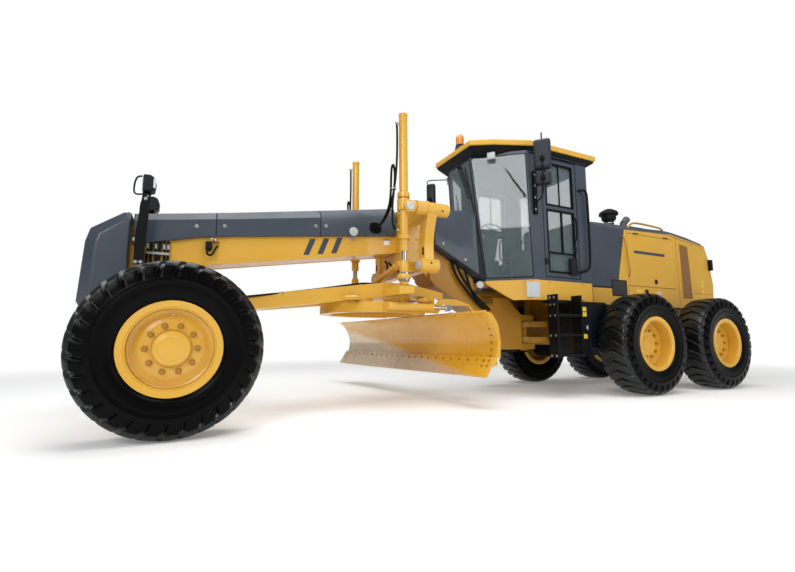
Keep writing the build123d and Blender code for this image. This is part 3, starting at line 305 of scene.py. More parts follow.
def around_tree():
    """One section repeated round an upright or lying axle."""
    tree, given, out = new_tree("round_an_axle",
        (("Count", "NodeSocketInt", 30), ("Axle", "NodeSocketVector", (0, 1, 0)),
         ("Centre", "NodeSocketVector", (0, 0, 0)), ("Merge", "NodeSocketFloat", 0.0004),
         ("Finish", "NodeSocketMaterial", None)))
    spots = node(tree, "GeometryNodeMeshLine", {"Offset": (0, 0, 0)}, {"Count": (given, "Count")})
    number = node(tree, "GeometryNodeInputIndex")
    share = node(tree, "ShaderNodeMath", {".operation": "DIVIDE"}, {0: (number, 0), 1: (given, "Count")})
    angle = node(tree, "ShaderNodeMath", {".operation": "MULTIPLY", 1: 2 * math.pi}, {0: (share, 0)})
    turn = node(tree, "FunctionNodeAxisAngleToRotation", {}, {"Axis": (given, "Axle"), "Angle": (angle, 0)})
    back = node(tree, "ShaderNodeVectorMath", {".operation": "SCALE", "Scale": -1.0}, {0: (given, "Centre")})
    home = node(tree, "GeometryNodeTransform", {},
        {"Geometry": (given, "Geometry"), "Translation": (back, 0)})
    spread = node(tree, "GeometryNodeInstanceOnPoints", {},
        {"Points": (spots, 0), "Instance": (home, 0), "Rotation": (turn, 0)})
    real = node(tree, "GeometryNodeRealizeInstances", {}, {"Geometry": (spread, 0)})
    placed = node(tree, "GeometryNodeTransform", {},
        {"Geometry": (real, 0), "Translation": (given, "Centre")})
    joined = node(tree, "GeometryNodeMergeByDistance", {},
        {"Geometry": (placed, 0), "Distance": (given, "Merge")})
    painted = node(tree, "GeometryNodeSetMaterial", {},
        {"Geometry": (joined, 0), "Material": (given, "Finish")})
    tree.links.new(painted.outputs[0], out.inputs[0])
    return tree


BOLT_TREE, AROUND_TREE = bolt_tree(), around_tree()


def run_tree(thing, tree, finish, body, values, stands_for=(), angle=32.0):
    """Sets the tree's inputs by their socket identifiers and makes its result the piece's mesh."""
    maker = thing.modifiers.new("repeat", "NODES")
    maker.node_group = tree
    values = dict(values, Finish=FINISHES[finish][0])
    for socket in tree.interface.items_tree:
        if socket.in_out == "INPUT" and socket.name in values:
            maker[socket.identifier] = values[socket.name]
    freeze(thing)
    settle(thing, angle)
    return finish_piece(thing, finish, body, stands_for)


def bolts(name, spots, finish, body, radius, height):
    """Hexagon heads on washers: each spot is (place, facing)."""
    mesh = bpy.data.meshes.new(name)
    mesh.from_pydata([tuple(at(*place)) for place, _ in spots], [], [])
    mesh.attributes.new("facing", "FLOAT_VECTOR", "POINT")
    for value, (_, facing) in zip(mesh.attributes["facing"].data, spots):
        value.vector = facing
    thing = linked(name, mesh)
    return run_tree(thing, BOLT_TREE, finish, body, {"Radius": radius, "Height": height})


def repeated(name, shells, tree, finish, body, values, stands_for=(), bevel=0.0, angle=32.0):
    """Shells repeated by one of the trees."""
    thing = piece(name, shells, finish, body, bevel=bevel)
    return run_tree(thing, tree, finish, body, values, stands_for, angle)


# ---- finishes ----
def linear(code):
    """An sRGB hex colour as linear red, green, blue and alpha."""
    parts = [int(code[i:i + 2], 16) / 255 for i in (1, 3, 5)]
    return tuple(c / 12.92 if c <= 0.04045 else ((c + 0.055) / 1.055) ** 2.4 for c in parts) + (1.0,)


def new_material(name):
    material = bpy.data.materials.new(name)
    material.use_nodes = True
    tree = material.node_tree
    return material, tree, tree.nodes["Principled BSDF"]


def noise_between(tree, scale, low, high, stretch=None, detail=4.0):
    """A grey pattern in object metres, spread between two positions of its noise."""
    place = node(tree, "ShaderNodeTexCoord")
    source = (place, "Object")
    if stretch:
        source = (node(tree, "ShaderNodeMapping", {"Scale": stretch}, {"Vector": source}), 0)
    field = node(tree, "ShaderNodeTexNoise", {"Scale": scale, "Detail": detail}, {"Vector": source})
    return node(tree, "ShaderNodeMapRange", {"From Min": low, "From Max": high}, {"Value": (field, "Fac")})


def two_tone(tree, mask, first, second):
    return node(tree, "ShaderNodeMix", {".data_type": "RGBA", 6: linear(first), 7: linear(second)},
        {0: (mask, 0)})


def surfaced(material, tone, bump, values):
    """Gives the material's shader its colour mix, its relief (source, strength, metres) and plain values."""
    tree = material.node_tree
    shader = tree.nodes["Principled BSDF"]
    tree.links.new(tone.outputs[2], shader.inputs["Base Color"])
    if bump:
        source, strength, depth = bump
        relief = node(tree, "ShaderNodeBump", {"Strength": strength, "Distance": depth}, {"Height": source})
        tree.links.new(relief.outputs[0], shader.inputs["Normal"])
    for key, value in values.items():
        shader.inputs[key].default_value = value
    return material


def uneven_gloss(tree, shader, field, low, high):
    gloss = node(tree, "ShaderNodeMapRange", {"To Min": low, "To Max": high}, {"Value": (field, 0)})
    tree.links.new(gloss.outputs[0], shader.inputs["Roughness"])


def enamel(name, colour, faded, roughness=0.34, coat=0.35, peel=0.012, shine=0.5, worn=None):
    """Sprayed two-pack enamel on steel: even colour that fades a little in soft patches, a clear
    gloss over it, and the fine ripple of sprayed paint, about 4 mm from crest to crest. Below a
    given height, a pale, partly metallic band in streaks is partly paint polished away by earth and
    partly a painted sheen reflection."""
    material, tree, shader = new_material(name)
    tone = two_tone(tree, noise_between(tree, 1.4, 0.35, 0.7), colour, faded)
    # The pale #e3cdb0 streaked band is partly paint polished away by earth and partly a painted sheen
    # reflection.
    if worn:
        place = node(tree, "ShaderNodeTexCoord")
        tilted = node(tree, "ShaderNodeVectorMath", {".operation": "DOT_PRODUCT", 1: (0.0, 0.16, 1.0)},
            {0: (place, "Object")})
        streaks = noise_between(tree, 1.2, 0.3, 0.7, stretch=(3.0, 1.0, 0.4), detail=2.0)
        ragged = node(tree, "ShaderNodeMath", {".operation": "MULTIPLY_ADD", 1: 0.05},
            {0: (streaks, 0), 2: (tilted, "Value")})
        bare_and_sheen = node(tree, "ShaderNodeMapRange",
            {"From Min": FLOOR_Z + worn + 0.1, "From Max": FLOOR_Z + worn + 0.02}, {"Value": (ragged, 0)})
        tone = node(tree, "ShaderNodeMix", {".data_type": "RGBA", 7: linear("#e3cdb0")},
            {0: (bare_and_sheen, 0), 6: (tone, 2)})
        metal = node(tree, "ShaderNodeMath", {".operation": "MULTIPLY", 1: 0.35}, {0: (bare_and_sheen, 0)})
        tree.links.new(metal.outputs[0], shader.inputs["Metallic"])
    uneven_gloss(tree, shader, noise_between(tree, 5.0, 0.3, 0.8), roughness - 0.05, roughness + 0.1)
    ripple = noise_between(tree, 240.0, 0.2, 0.8, detail=2.0)
    return surfaced(material, tone, ((ripple, 0), peel, 0.004),
        {"Specular IOR Level": shine, "Coat Weight": coat, "Coat Roughness": 0.12})


def rubber(name, colour, dusted, roughness, shine=0.25):
    """Moulded carbon-black rubber: near black, with pale road dust in soft patches and a grain of
    about 3 mm."""
    material, tree, _ = new_material(name)
    tone = two_tone(tree, noise_between(tree, 3.0, 0.4, 0.8), colour, dusted)
    grain = noise_between(tree, 320.0, 0.2, 0.8, detail=3.0)
    return surfaced(material, tone, ((grain, 0), 0.09, 0.003),
        {"Roughness": roughness, "Specular IOR Level": shine})


def plated_steel(name, colour, duller, roughness):
    """Chromed or zinc-plated steel: bright metal with soft, slightly duller patches, and wear marks
    about 6 mm apart."""
    material, tree, shader = new_material(name)
    patches = noise_between(tree, 9.0, 0.35, 0.7)
    tone = two_tone(tree, patches, colour, duller)
    uneven_gloss(tree, shader, patches, roughness, roughness + 0.18)
    marks = noise_between(tree, 160.0, 0.3, 0.7, detail=2.0)
    return surfaced(material, tone, ((marks, 0), 0.05, 0.002), {"Metallic": 1.0})


def tinted_pane(name, colours, alpha):
    """Tinted safety glass: see-through, with paler patches painted on as a reflection of the sky."""
    material, tree, _ = new_material(name)
    painted_sky_reflection = noise_between(tree, 0.9, 0.3, 0.75, stretch=(1.0, 1.0, 0.5))
    return surfaced(material, two_tone(tree, painted_sky_reflection, *colours), None,
        {"Alpha": alpha, "Roughness": 0.03, "IOR": 1.52, "Coat Weight": 1.0, "Coat Roughness": 0.02})


def ribbed_lens(name, colour, inner):
    """Pressed clear or coloured lens with moulded ribs about 7 mm apart."""
    material, tree, _ = new_material(name)
    place = node(tree, "ShaderNodeTexCoord")
    wave = node(tree, "ShaderNodeTexWave", {"Scale": 45.0, ".bands_direction": "Z"},
        {"Vector": (place, "Object")})
    return surfaced(material, two_tone(tree, wave, colour, inner), ((wave, "Fac"), 0.25, 0.002),
        {"Roughness": 0.15, "Coat Weight": 0.8})


def woven(name, colour, thread):
    """Woven polyester seat cloth, drawn with threads 3 mm apart so that they show."""
    material, tree, _ = new_material(name)
    place = node(tree, "ShaderNodeTexCoord")
    spacing = 0.003
    warp, weft = (node(tree, "ShaderNodeTexWave", {"Scale": 0.35 / spacing, ".bands_direction": way},
            {"Vector": (place, "Object")}) for way in "YZ")
    cloth = node(tree, "ShaderNodeMath", {".operation": "MULTIPLY"}, {0: (warp, "Fac"), 1: (weft, "Fac")})
    return surfaced(material, two_tone(tree, cloth, colour, thread), ((cloth, 0), 0.4, 0.001),
        {"Roughness": 0.85, "Sheen Weight": 0.3})


def perforated(name, colour, hole, pitch=0.012):
    """Punched sheet: rows of round holes a pitch apart, drawn coarse enough to show."""
    material, tree, _ = new_material(name)
    place = node(tree, "ShaderNodeTexCoord")
    cells = node(tree, "ShaderNodeTexVoronoi", {"Scale": 1.0 / pitch, "Randomness": 0.0},
        {"Vector": (place, "Object")})
    rim = node(tree, "ShaderNodeMapRange", {"From Min": 0.3, "From Max": 0.36},
        {"Value": (cells, "Distance")})
    return surfaced(material, two_tone(tree, rim, hole, colour), ((rim, 0), 0.5, 0.002), {"Roughness": 0.55})


FINISHES = {
    "enamel": (enamel("yellow_machine_enamel", "#d8a432", "#dfad3f"), "yellow_paint"),
    # The blade's enamel is paler and partly metallic low down: partly polished wear, partly a painted sheen
    # reflection.
    "blade_enamel": (enamel("glossy_yellow_blade_enamel", "#dba01f", "#e4ae35", 0.24, 0.6, worn=0.46),
        "yellow_paint"),
    # A darker yellow enamel painted as shade. It goes on the neck's lower part, the front frame's undersides,
    # the rear frame, wheel nuts, blade bolts, hood rails and engine covers.
    "shade_yellow_enamel": (enamel("painted_shade_yellow_enamel", "#a8761c", "#b38224", 0.42, 0.15), "yellow_paint"),
    "slate": (enamel("slate_grey_enamel", "#323c48", "#3a4450", 0.42, 0.2), "grey_paint"),
    "slate_matt": (enamel("slate_grey_textured_paint", "#434a53", "#4c535c", 0.6, 0.0, 0.03),
        "grey_paint"),
    "black_enamel": (enamel("black_chassis_enamel", "#060709", "#0b0c0f", 0.4, 0.0, shine=0.15),
        "black_paint"),
    "dark_enamel": (enamel("dark_blue_black_enamel", "#0b0f16", "#10151d", 0.42, 0.0, shine=0.25),
        "black_paint"),
    "rubber": (rubber("tyre_tread_rubber", "#08090a", "#15171a", roughness=0.3, shine=0.42),
        "tyre_rubber"),
    "wall_rubber": (rubber("tyre_sidewall_rubber", "#020203", "#060607", roughness=0.28, shine=0.09),
        "tyre_rubber"),
    "hose_rubber": (rubber("hydraulic_hose_rubber", "#050607", "#0b0c0e", roughness=0.4, shine=0.18),
        "dark_plastic"),
    "seal_rubber": (rubber("window_seal_rubber", "#050607", "#0b0c0d", roughness=0.5, shine=0.12),
        "dark_plastic"),
    "plastic": (rubber("black_moulded_plastic", "#0d0f11", "#16181b", roughness=0.45), "dark_plastic"),
    "console_plastic": (rubber("grey_cab_trim_plastic", "#4a4f55", "#585e65", roughness=0.55),
        "dark_plastic"),
    "chrome": (plated_steel("chromed_cylinder_rod", "#d9dadc", "#c8cacd", 0.08), "chrome_rod"),
    "zinc": (plated_steel("zinc_plated_steel", "#b9bbb6", "#a2a49f", 0.32), "worn_steel"),
    "silver": (enamel("silver_painted_steel", "#b4b9bd", "#c3c8cc", 0.35), "worn_steel"),
    "cast": (enamel("cast_iron_primer_grey", "#4a4c4e", "#57595b", 0.62, 0.0, 0.08), "cast_grey"),
    "glass": (tinted_pane("tinted_safety_glass", ("#66777d", "#8b9da3"), 0.27), "tinted_glass"),
    "dark_glass": (tinted_pane("smoked_glass", ("#39434a", "#56626a"), 0.8), "tinted_glass"),
    "lens": (ribbed_lens("clear_lamp_lens", "#e9eef0", "#b4bec4"), "tinted_glass"),
    "amber_lens": (ribbed_lens("amber_beacon_lens", "#e39a1e", "#b9690c"), "yellow_paint"),
    "mirror_plastic": (rubber("dark_grey_mirror_plastic", "#23282f", "#2c323a", roughness=0.42),
        "dark_plastic"),
    "red_lens": (ribbed_lens("red_lamp_lens", "#a3191c", "#7d0f12"), "dark_plastic"),
    "cloth": (woven("woven_seat_cloth", "#222428", "#34373c"), "seat_fabric"),
    "grille": (perforated("punched_brown_grille", "#8f6433", "#2a1c10"), "grille_brown"),
    "dark_grille": (perforated("punched_black_grille", "#2a2c2f", "#08090a", 0.016), "dark_plastic"),
    "white_plate": (enamel("bare_white_plate", "#dfe2e4", "#e8ebed", 0.4), "grey_paint"),
    "notice_plate": (enamel("bare_yellow_plate", "#e9c92e", "#efd24a", 0.4), "yellow_paint"),
    "red_enamel": (enamel("red_enamel", "#a8201d", "#b52a25", 0.4), "black_paint"),
}


# ---- CAD nodes that stay as they are ----
CAD_FINISH = {
    "enamel": ("front_frame", "lift_saddle", "front_axle", "lean_yoke_left", "lean_yoke_right",
        "knuckle_left", "knuckle_right", "lean_bar", "drawbar", "circle", "blade_carrier", "engine_hood",
        "engine_door_left", "engine_door_right", "cab_roof", "lift_barrel_left", "lift_barrel_right",
        "shift_barrel", "rim_front_left", "rim_front_right", "rim_mid_left", "rim_mid_right",
        "rim_rear_left", "rim_rear_right", "cab_base"),
    # The rear frame takes the darker yellow as painted shade.
    "shade_yellow_enamel": ("rear_frame",),
    "blade_enamel": ("moldboard", "cutting_edge"),
    "slate": ("frame_covers", "nose_cover", "hood_cowl", "cab_shell", "cab_door_left", "cab_door_right"),
    "black_enamel": ("access_steps", "tandem_drive", "headlight_posts", "intake_and_exhaust"),
    "dark_enamel": ("side_boxes",),
    "rubber": ("tyre_front_left", "tyre_front_right", "tyre_mid_left", "tyre_mid_right", "tyre_rear_left",
        "tyre_rear_right"),
    "chrome": ("steering_rod", "tilt_rod", "lift_rod_left", "lift_rod_right", "shift_rod"),
    "cast": ("drawbar_ball", "engine_block"),
    "glass": ("cab_glass", "door_glass_left", "door_glass_right"),
    "cloth": ("operator_seat",),
    "console_plastic": ("steering_console",),
    "plastic": ("mirrors", "cab_lamps"),
    "grille": ("rear_grille",),
}
for finish_name, names in CAD_FINISH.items():
    for name in names:
        cad_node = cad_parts[name]
        cad_node.data.materials.clear()
        cad_node.data.materials.append(FINISHES[finish_name][0])
for name in ("engine_hood", "hood_cowl"):
    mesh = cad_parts[name].data
    mesh.materials.append(FINISHES["slate_matt"][0])
    for face in mesh.polygons:
        face.material_index = 1 if face.normal.z > 0.55 else 0
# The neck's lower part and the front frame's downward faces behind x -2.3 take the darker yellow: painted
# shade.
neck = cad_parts["front_frame"].data
neck.materials.append(FINISHES["shade_yellow_enamel"][0])
for face in neck.polygons:
    spot = face.center - at(0, 0, 0)
    face.material_index = 1 if (spot.x < -2.7 and spot.z < 1.8) or (face.normal.z < -0.5
        and spot.x < -2.3) else 0

# ---- tyres and rims ----
WHEELBASE, TANDEM_SPACING, TRACK, TYRE_RADIUS = 6.5, 1.64, 2.14, 0.675
# name, axle x, side (+1 left), wheel disc outboard of the tyre's middle
WHEELS = (
    ("front_left", 0.0, 1, 0.095),
    ("front_right", 0.0, -1, 0.095),
    ("mid_left", -WHEELBASE + TANDEM_SPACING / 2, 1, 0.03),
    ("mid_right", -WHEELBASE + TANDEM_SPACING / 2, -1, 0.03),
    ("rear_left", -WHEELBASE - TANDEM_SPACING / 2, 1, 0.03),
    ("rear_right", -WHEELBASE - TANDEM_SPACING / 2, -1, 0.03),
)
LUGS = 30
NUTS, NUT_CIRCLE_RADIUS = 10, 0.178
SHOULDER = 0.2  # the tread's grooves are shallower beyond this distance from the tyre's middle
# distance from the tyre's middle, radius, groove depth
TREAD_SECTION = ((0.0, 0.675, 0.026), (0.02, 0.675, 0.026), (0.065, 0.6745, 0.026), (0.11, 0.6725, 0.026),
    (0.15, 0.668, 0.026), (0.168, 0.6635, 0.026), (0.182, 0.656, 0.028), (0.194, 0.643, 0.03),
    (0.204, 0.623, 0.03), (0.211, 0.6, 0.028), (0.2155, 0.575, 0.027), (0.2175, 0.55, 0.022),
    (0.2185, 0.538, 0.0), (0.2205, 0.53, 0.0), (0.221, 0.513, 0.0), (0.2235, 0.51, 0.0),
    (0.224, 0.505, 0.0), (0.2215, 0.501, 0.0), (0.2205, 0.47, 0.0), (0.2175, 0.435, 0.0),
    (0.212, 0.408, 0.0), (0.209, 0.4, 0.0), (0.2085, 0.393, 0.0), (0.202, 0.38, 0.0), (0.193, 0.372, 0.0),
    (0.189, 0.36, 0.0), (0.176, 0.3185, 0.0))
# share of one lug's pitch, share of the groove's depth
LUG_SHAPE = ((0.0, 0.0), (0.03, 0.0), (0.33, 0.0), (0.64, 0.0), (0.67, 0.12), (0.705, 0.92), (0.73, 1.0),
    (0.83, 1.0), (0.93, 1.0), (0.955, 0.92), (0.985, 0.12))
CHEVRON = 0.15  # how far the middle of a lug leads its ends, radians
TREAD_HALF_WIDTH = 0.215
# the grooves run on down the wall between two radii, swept by this many radians for each metre
WALL_TOP, WALL_END, WALL_SWEEP = 0.655, 0.53, 0.55


def chevron_lead(across_share):
    """Zero at the shoulders and full in the middle, with ends that run nearly straight across."""
    return CHEVRON * (1.0 - min(1.0, across_share / 0.86) ** 1.25)


def tyre_section(x, side):
    """One lug and one groove of the tread, from bead to bead, as an open strip."""
    pitch = 2 * math.pi / LUGS
    stations = [(-v, r, d) for v, r, d in reversed(TREAD_SECTION[1:])] + list(TREAD_SECTION)
    shape = LUG_SHAPE + ((1.0, 0.0),)
    points, faces = [], []
    for v, r, depth in stations:
        lead = chevron_lead(abs(v) / TREAD_HALF_WIDTH) - WALL_SWEEP * max(0.0, WALL_TOP - r) * (r > WALL_END)
        for share, cut in shape:
            angle = share * pitch + lead
            beyond = abs(v) > SHOULDER
            radius = r - depth * cut * (0.85 if beyond else 1.0)
            inward = depth * cut * math.copysign(0.6, v) if beyond else 0.0
            points.append(at(x + radius * math.cos(angle), side * TRACK / 2 + v - inward,
                    TYRE_RADIUS + radius * math.sin(angle)))
    columns = len(shape)
    for row in range(len(stations)):
        after = (row + 1) % len(stations)
        for k in range(columns - 1):
            faces.append(
                (row * columns + k, row * columns + k + 1, after * columns + k + 1, after * columns + k))
    return points, faces


# distance from the tyre's middle, radius: bead seat, flange, lock ring, dish
RIM_EDGE = ((-0.176, 0.3185), (-0.188, 0.328), (-0.1895, 0.364), (-0.194, 0.3672), (-0.203, 0.366),
    (-0.206, 0.36), (-0.205, 0.31), (-0.2, 0.303), (-0.188, 0.3025))
RIM_FACE = ((0.12, 0.2985), (0.176, 0.296), (0.189, 0.2972), (0.194, 0.2995), (0.195, 0.303),
    (0.1925, 0.306), (0.1925, 0.3085), (0.1985, 0.312), (0.2005, 0.318), (0.2005, 0.34), (0.203, 0.345),
    (0.2035, 0.353), (0.2005, 0.358), (0.193, 0.3592), (0.1885, 0.356), (0.188, 0.328), (0.176, 0.3185))
FRONT_DISC = ((0.006, 0.3), (0.014, 0.297), (0.006, 0.286), (0.002, 0.27), (0.006, 0.245), (0.019, 0.212),
    (0.0215, 0.202), (0.0215, 0.142), (0.018, 0.1405), (0.018, 0.138), (0.05, 0.134), (0.0625, 0.123),
    (0.068, 0.103), (0.069, 0.097), (0.074, 0.09), (0.075, 0.0))
REAR_DISC = ((0.006, 0.302), (0.022, 0.295), (0.015, 0.28), (0.013, 0.245), (0.018, 0.208), (0.021, 0.201),
    (0.021, 0.142), (0.019, 0.132), (0.016, 0.13), (0.016, 0.09), (0.022, 0.086), (0.026, 0.07),
    (0.026, 0.0))


def wheel(name, x, side, disc):
    body = "wheel_" + name
    middle = (x, side * TRACK / 2, TYRE_RADIUS)
    centre = at(*middle)
    axle = (0, side, 0)
    turn = {"Axle": (0, 1, 0), "Centre": tuple(centre)}
    tyre = repeated(name + "_tyre_tread", [tyre_section(x, side)], AROUND_TREE, "rubber", body,
        dict(turn, Count=LUGS, Merge=0.0006), stands_for=("tyre_" + name,), angle=38.0)
    tyre.data.materials.append(FINISHES["wall_rubber"][0])
    for face in tyre.data.polygons:
        out = Vector((face.center.x, 0, face.center.z)) - Vector((centre.x, 0, centre.z))
        lateral = abs(face.center.y - centre.y)
        wall = out.length < 0.6 or (lateral > SHOULDER and abs(face.normal.y) > 0.9)
        face.material_index = int(wall)
    face_profile = [(disc + a, r) for a, r in (FRONT_DISC if x == 0 else REAR_DISC)]
    back = [(disc - 0.012, 0.302), (disc - 0.012, 0.28), (disc - 0.004, 0.15), (disc - 0.004, 0.0)]
    dish = turned(back[::-1] + face_profile, middle, axle, 64)
    barrel = ring(RIM_EDGE + ((-0.1, 0.3025), (0.1, 0.3025)) + RIM_FACE + ((0.14, 0.318), (-0.14, 0.318)),
        middle, axle, 72)
    piece(name + "_wheel_rim", [dish, barrel], "enamel", body, stands_for=("rim_" + name,), angle=28.0)
    nut_place = (x + NUT_CIRCLE_RADIUS, side * (TRACK / 2 + disc + 0.0215), TYRE_RADIUS)
    nut = turned(((0.0, 0.026), (0.004, 0.026), (0.005, 0.0185), (0.021, 0.0185), (0.025, 0.0155),
            (0.0255, 0.011), (0.036, 0.011), (0.038, 0.009), (0.038, 0.0)), nut_place, axle, 6)
    repeated(name + "_wheel_nuts", [nut], AROUND_TREE, "shade_yellow_enamel", body,
        dict(turn, Count=NUTS, Merge=0.0))
    stem = [(x, side * (TRACK / 2 + disc + out), TYRE_RADIUS + up)
        for out, up in ((0.03, 0.262), (0.05, 0.262), (0.07, 0.255))]
    hoses(name + "_valve_stem", [(0.006, stem)], "zinc", body)


for wheel_name, wheel_x, wheel_side, wheel_disc in WHEELS:
    wheel(wheel_name, wheel_x, wheel_side, wheel_disc)

# ---- nose, covers, beam and headlights ----
NOSE_MIDDLE = ((0.4205, 1.38), (0.4205, 1.947), (0.483, 1.941), (0.736, 1.762), (0.769, 1.636),
    (0.8, 1.087), (0.768, 1.028), (0.64, 1.005))
NOSE_SIDE = ((0.4205, 1.4), (0.4205, 1.858), (0.486, 1.845), (0.659, 1.705), (0.681, 1.615), (0.707, 1.086),
    (0.69, 1.045), (0.62, 1.03))
BEAM_SLOPE = 0.1434  # rise of the beam's lower edge per metre to the rear
COVER_STATIONS = (0.4, -0.185, -0.552, -1.528, -1.965, -2.37)  # x, then foot, fold and crown heights
COVER_FEET = (1.64, 1.771, 1.816, 1.921, 1.966, 2.009)
COVER_FOLDS = (1.873, 1.951, 2.001, 2.141, 2.203, 2.262)
COVER_CROWNS = (1.953, 2.034, 2.088, 2.24, 2.309, 2.373)


def cover_rim(x, out=0.0):
    """The beam cover's section at x: left foot, left fold, left crown, then the same on the right."""
    low = next(i for i in range(1, 6) if x >= COVER_STATIONS[i] - 1e-6)
    share = (x - COVER_STATIONS[low - 1]) / (COVER_STATIONS[low] - COVER_STATIONS[low - 1])
    bottom, fold, crown = (row[low - 1] + (row[low] - row[low - 1]) * share
        for row in (COVER_FEET, COVER_FOLDS, COVER_CROWNS))
    left = [(0.206 + out, bottom), (0.206 + out, fold + out * 0.4), (0.146 + out * 0.4, crown + out)]
    return left + [(-y, z) for y, z in reversed(left)]


def cover_seam(x, width=0.005, out=0.0012):
    """A thin lap of sealer over the joint between two lengths of the cover."""
    outer, inner = cover_rim(x, out), cover_rim(x, -0.003)
    shells = []
    for (a, b), (c, d) in zip(zip(outer, outer[1:]), zip(inner, inner[1:])):
        shells.append(prism("x", (a, b, d, c), x - width / 2, x + width / 2))
    return shells


def slabs(outlines):
    """A closed shell through side outlines given with their y."""
    return layered([[(x, y, z) for x, z in outline] for y, outline in outlines])


def nose_and_covers():
    piece("nose_panel",
          [slabs(((-0.27, NOSE_SIDE), (-0.21, NOSE_MIDDLE), (0.21, NOSE_MIDDLE), (0.27, NOSE_SIDE)))],
          "slate", FRONT, bevel=0.016, segments=4, stands_for=("nose_cover",))
    sheets = []
    for first, last in ((0.4, -0.3225), (-0.3255, -1.4185), (-1.4215, -2.37)):
        xs = [first] + [x for x in COVER_STATIONS if last < x < first] + [last]
        sheets.append(layered([[(x, y, z) for y, z in cover_rim(x)] for x in xs]))
    piece("beam_covers", sheets, "slate", FRONT, bevel=0.006, segments=3, stands_for=("frame_covers",))
    neck = ((-2.85, 1.93), (-3.545, 1.57), (-3.5, 2.4), (-3.33, 2.44), (-2.85, 2.36))
    neck_side = ((-2.86, 1.93), (-3.535, 1.58), (-3.49, 2.352), (-3.33, 2.386), (-2.86, 2.305))
    piece("neck_cover", [slabs(((-0.33, neck_side), (-0.298, neck), (0.298, neck), (0.33, neck_side)))],
          "slate", FRONT, bevel=0.008, segments=3)
    seams = cover_seam(-0.324) + cover_seam(-1.42) + cover_seam(0.399, 0.006)
    piece("cover_seams", seams, "seal_rubber", FRONT)
    side_bolts = [((x, 0.2065, z), (0, 1, 0))
        for x, z in ((-0.142, 1.877), (-0.403, 1.908), (0.385, 1.69), (-1.36, 2.02), (-1.48, 2.033))]
    side_bolts += [((x, 0.3305, z), (0, 1, 0)) for x, z in ((-2.975, 1.95), (-3.315, 1.765))]
    side_bolts += [((x, -y, z), (0, -1, 0)) for (x, y, z), _ in side_bolts]
    side_bolts += [((x, y, cover_rim(x)[2][1] + 0.0005), (0.15, 0, 1)) for x in (0.33, -0.26, -0.39)
        for y in (0.1, -0.1)]
    bolts("cover_bolts", side_bolts, "zinc", FRONT, 0.014, 0.011)
    piece("nose_handles",
          [rod((0.45, y, 1.955), (0.45, y + 0.11, 1.955), 0.008) for y in (0.03, -0.14)]
          + [rod((0.45, y, 1.92), (0.45, y, 1.962), 0.008) for y in (0.03, 0.14, -0.14, -0.03)], "plastic",
          FRONT, bevel=0.002)
    grip = [(0.765, 1.5), (0.785, 1.5), (0.796, 1.32), (0.776, 1.32)]
    piece("nose_pull", [prism("y", grip, -0.07, 0.07)], "plastic", FRONT, bevel=0.004)


